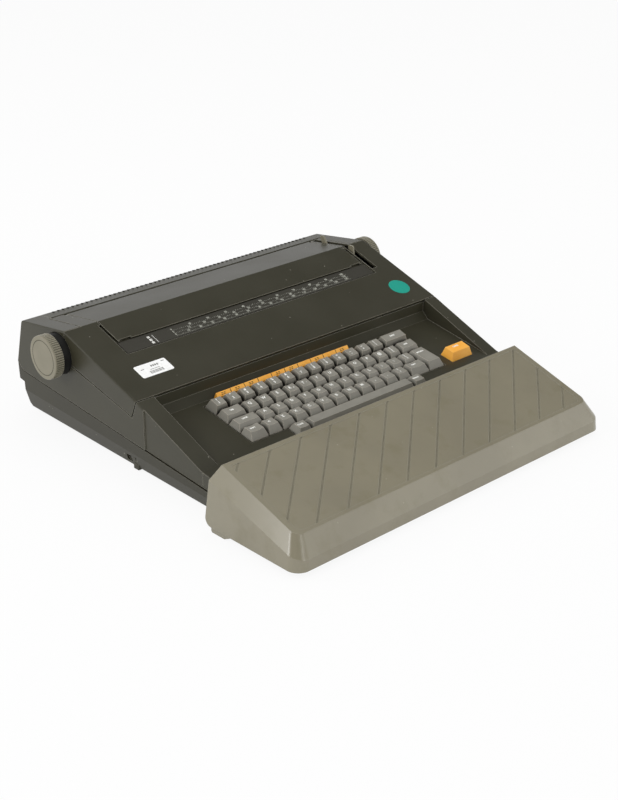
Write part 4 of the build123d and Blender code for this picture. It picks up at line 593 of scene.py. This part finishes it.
# The two stickers on the slope: label (x, y, width, depth), disc (x, y, diameter), and the plain
# bars on the label, each (x, y, width, depth) from the label's middle
stickers = {"label": (-170.0, 35.8, 40.0, 19.5), "labelCorner": 2.0, "labelTurns": 96,
            "disc": (191.0, 32.0, 26.0), "thick": 0.12, "inkThick": 0.04}
labelBars = ([(-7.0 + 1.3 * k, -4.6, 0.95 if k % 3 == 0 else 0.6, 4.4) for k in range(13)]
             + [(1.0, -0.6, 12.0, 0.7)]
             + [(-0.5 + 2.6 * k, 4.2, 1.9, 2.6) for k in range(4)]
             + [(-13.0, 2.5, 4.0, 1.0), (15.5, 6.5, 4.0, 1.0)])


def makeStickers():
    x, y, wide, deep = stickers["label"]
    points, faces = patch(wide, deep, stickers["labelCorner"], stickers["thick"],
                          stickers["labelTurns"])
    meshPiece("white_label", onPlane(slope, points + (x, y, 0)), faces, labelPaper, "root")
    centres = [(x + dx, y + dy, stickers["thick"]) for dx, dy, width, depth in labelBars]
    sizes = [(width, depth, stickers["inkThick"]) for dx, dy, width, depth in labelBars]
    points, faces = boxes(centres, sizes)
    meshPiece("label_bars", onPlane(slope, points), faces, labelInk, "root")
    x, y, wide = stickers["disc"]
    points, faces = patch(wide, wide, wide / 2, stickers["thick"])
    meshPiece("round_sticker", onPlane(slope, points + (x, y, 0)), faces, tealVinyl, "root")


makeStickers()
print("stickers made")

# Dirt in the slanting grooves of the keyboard cover, in the plane of its top: the cover's middle
# (x), the first groove and their pitch along x, and the sunk field's ends (y) and half width
coverTop = tilted(-130.0, 36.36, 18.0)
grooves = {"aside": -20.5, "first": -305.83, "pitch": 39.8, "count": 14,
           "slant": math.tan(math.radians(47.3)), "ends": (4.8, 101.4), "side": 203.2,
           "shortest": 6.0, "width": 1.1, "bottom": -0.78, "fill": 0.12}


def makeGrooveDirt():
    # a groove is x = first + pitch * i + slant * y, cut off at the sunk field's four sides
    x0 = grooves["first"] + grooves["pitch"] * np.arange(grooves["count"])
    low = np.clip((-grooves["side"] - x0) / grooves["slant"], *grooves["ends"])
    high = np.clip((grooves["side"] - x0) / grooves["slant"], *grooves["ends"])
    keep = high - low > grooves["shortest"]
    x0, low, high = x0[keep], low[keep], high[keep]
    starts = np.stack([x0 + grooves["slant"] * low, low], -1)
    ends = np.stack([x0 + grooves["slant"] * high, high], -1)
    points, faces = bars(starts, ends, grooves["width"], grooves["bottom"],
                         grooves["bottom"] + grooves["fill"])
    points = onPlane(coverTop, points + (grooves["aside"], 0, 0))
    meshPiece("groove_dirt", points, faces, grooveDirt, "front_cover")


makeGrooveDirt()

# Painted shade in the knobs' grip grooves and in the ring round their face, as darker bars and a
# darker washer turning with the platen: the platen's axis (y, z), the face's x, the grip's radius
# and its grooves, and the ring's radii
knobs = {"y": 251.01, "z": 92.79, "face": 240.0, "radius": 24.0, "grooves": 60, "deep": 0.7,
         "wide": 1.15, "grip": (1.6, 10.2), "ring": (18.5, 19.65), "ringDeep": 0.6,
         "ringTurns": 96, "proud": 0.02}


def aroundPlaten(x, radius, angle):
    # a point at this distance and angle from the platen's axis
    y = knobs["y"] + radius * np.cos(angle)
    z = knobs["z"] + radius * np.sin(angle)
    return np.stack(np.broadcast_arrays(x, y, z), -1)


def makeKnobDirt():
    for name, side in (("left", -1), ("right", 1)):
        # each bar is a short arc that fills the lower two thirds of a groove
        turns = 2 * math.pi * np.arange(knobs["grooves"])[:, None] / knobs["grooves"]
        angles = turns + corners[:, 0] * knobs["wide"] / knobs["radius"] / 2
        depths = np.where(corners[:, 1] < 0, knobs["deep"], knobs["deep"] / 3)
        inward = np.where(corners[:, 2] < 0, *knobs["grip"])
        grip = aroundPlaten(side * (knobs["face"] - inward), knobs["radius"] - depths, angles)
        # the ring is a flat washer that fills the groove up to the face
        inner, outer = knobs["ring"]
        low, high = -knobs["ringDeep"], knobs["proud"]
        turns = np.arange(knobs["ringTurns"]) * 2 * math.pi / knobs["ringTurns"]
        ring = np.stack([aroundPlaten(side * (knobs["face"] + x), radius, turns) for radius, x in
                         ((inner, low), (outer, low), (outer, high), (inner, high))])
        points, faces = joinParts([(grip, cubeFaces(knobs["grooves"])),
                                   (ring, gridFaces(4, knobs["ringTurns"], True, True))])
        meshPiece(name + "_knob_groove_shade", points, faces, knobGrooveShade, "platen")


makeKnobDirt()

# Black ribs in the notches of the paper support's rear edge, where the paper rests, from their
# left end on; back and low are the rear end and the foot of each, in the rear plane
ribs = {"first": -182.0, "pitch": 6.35, "count": 60, "width": 3.15, "length": 3.0,
        "height": 2.6, "steps": 9, "back": 82.0, "low": -1.6, "drop": 0.5}


def makeRibs():
    # each rib is a half ellipse across, height * sqrt(1 - (x / half the width)^2), swept back
    # along the support and a little down
    steps = ribs["steps"]
    t = np.linspace(0, math.pi, steps)
    across, up = -np.cos(t) * ribs["width"] / 2, np.sin(t) * ribs["height"] + ribs["low"]
    faces = [*gridFaces(2, steps, closeColumns=True), range(steps),
             range(2 * steps - 1, steps - 1, -1)]
    parts = []
    for i in range(ribs["count"]):
        x = ribs["first"] + ribs["pitch"] * i + ribs["width"] / 2
        front = np.stack([across + x, np.full(steps, ribs["back"] - ribs["length"]), up], -1)
        back = front + (0, ribs["length"], -ribs["drop"])
        parts.append((np.concatenate([front, back]), faces))
    points, faces = joinParts(parts)
    meshPiece("support_ribs", onPlane(rear, points), faces, blackRubber, "support")


makeRibs()
print("ribs made")

# Floor: half its side (m) and its glow. World: its even light, and the heights between which what
# a mirror shows of it falls to the zenith. Camera: place (machine mm), turns (degrees), lens and
# sensor (mm), clip (m)
studio = {"floor": 6.0, "show": 0.9, "fill": 0.7, "whiteBelow": 0.26, "darkAbove": 0.56,
          "zenith": 0.1, "camera": (-988.2, -955.9, 686.2), "yaw": 46.93, "pitch": 24.74,
          "lens": 65.25, "sensor": 36.0, "clip": (0.05, 50.0)}
# Square lamps: place (m), side (m) and power (W), all aimed at the machine's middle
aim = Vector((0, 0, 0.05))
lamps = {
    "leftSoftbox": ((-2.3, 0.25, 1.1), 0.7, 10.5),
    "frontSoftbox": ((0.1, -2.4, 1.1), 0.7, 7.0),
    "frontRightSoftbox": ((1.6, -1.8, 0.8), 1.5, 4.5),
    "rearLeftSoftbox": ((-1.5, 1.6, 1.3), 0.9, 10.0),
    "overheadSoftbox": ((0.3, 0.2, 2.4), 1.8, 9.0)}


def straightRay(tree):
    # 1 for what the camera sees, straight or in a mirror or glass, else 0
    ray = add(tree, "LightPath")
    share = ray.outputs["Is Camera Ray"]
    for kind in ("Is Glossy Ray", "Is Transmission Ray"):
        share = add(tree, "Math", {"operation": "MAXIMUM"},
                    {0: share, 1: ray.outputs[kind]}).outputs[0]
    return share


def makeFloor():
    half = studio["floor"]
    mesh = bpy.data.meshes.new("floor")
    mesh.from_pydata([(-half, -half, 0), (half, -half, 0), (half, half, 0), (-half, half, 0)],
                     [], [(0, 1, 2, 3)])
    floor = bpy.data.objects.new("floor", mesh)
    bpy.context.scene.collection.objects.link(floor)
    material, tree = startMaterial("whiteFloorPaper")
    share = add(tree, "Math", {"operation": "MULTIPLY", 1: studio["show"]},
                {0: straightRay(tree)})
    paper = add(tree, "BsdfDiffuse", {"Color": colour("#efefef")})
    glow = add(tree, "Emission", {"Color": colour("#ffffff"), "Strength": 1.0})
    mixed = add(tree, "MixShader", {},
                {0: share.outputs[0], 1: paper.outputs[0], 2: glow.outputs[0]})
    add(tree, "OutputMaterial", {}, {"Surface": mixed.outputs[0]})
    mesh.materials.append(material)


def makeWorld():
    world = bpy.data.worlds.new("studio")
    world.use_nodes = True
    tree = world.node_tree
    tree.nodes.clear()
    # what is seen or mirrored: white up to a low height, falling to the dim ceiling of the studio
    up = add(tree, "SeparateXYZ", {}, {0: add(tree, "TexCoord").outputs["Generated"]})
    height = add(tree, "MapRange", {"interpolation_type": "SMOOTHSTEP", "To Min": 1.0,
                                    "From Min": studio["whiteBelow"],
                                    "From Max": studio["darkAbove"], "To Max": studio["zenith"]},
                 {0: up.outputs["Z"]})
    soft = add(tree, "Background", {"Color": colour("#ffffff"), "Strength": studio["fill"]})
    white = add(tree, "Background", {"Color": colour("#ffffff")}, {"Strength": height.outputs[0]})
    mixed = add(tree, "MixShader", {},
                {0: straightRay(tree), 1: soft.outputs[0], 2: white.outputs[0]})
    add(tree, "OutputWorld", {}, {"Surface": mixed.outputs[0]})
    bpy.context.scene.world = world


def makeLamps():
    for name, (place, size, power) in lamps.items():
        data = bpy.data.lights.new(name, "AREA")
        data.shape, data.size, data.energy = "SQUARE", size, power
        lamp = bpy.data.objects.new(name, data)
        lamp.location = place
        lamp.rotation_euler = (aim - Vector(place)).to_track_quat("-Z", "Y").to_euler()
        bpy.context.scene.collection.objects.link(lamp)


def makeCamera():
    data = bpy.data.cameras.new("camera")
    data.lens, data.sensor_width = studio["lens"], studio["sensor"]
    data.clip_start, data.clip_end = studio["clip"]
    camera = bpy.data.objects.new("camera", data)
    camera.location = toFrame(studio["camera"])
    yaw, pitch = math.radians(studio["yaw"]), math.radians(studio["pitch"])
    ahead = Vector((math.cos(yaw) * math.cos(pitch), math.sin(yaw) * math.cos(pitch),
                    -math.sin(pitch)))
    camera.rotation_euler = ahead.to_track_quat("-Z", "Y").to_euler()
    bpy.context.scene.collection.objects.link(camera)
    bpy.context.scene.camera = camera


makeFloor()
makeWorld()
makeLamps()
makeCamera()
bpy.context.scene.view_settings.view_transform = "Standard"
print("stage set")
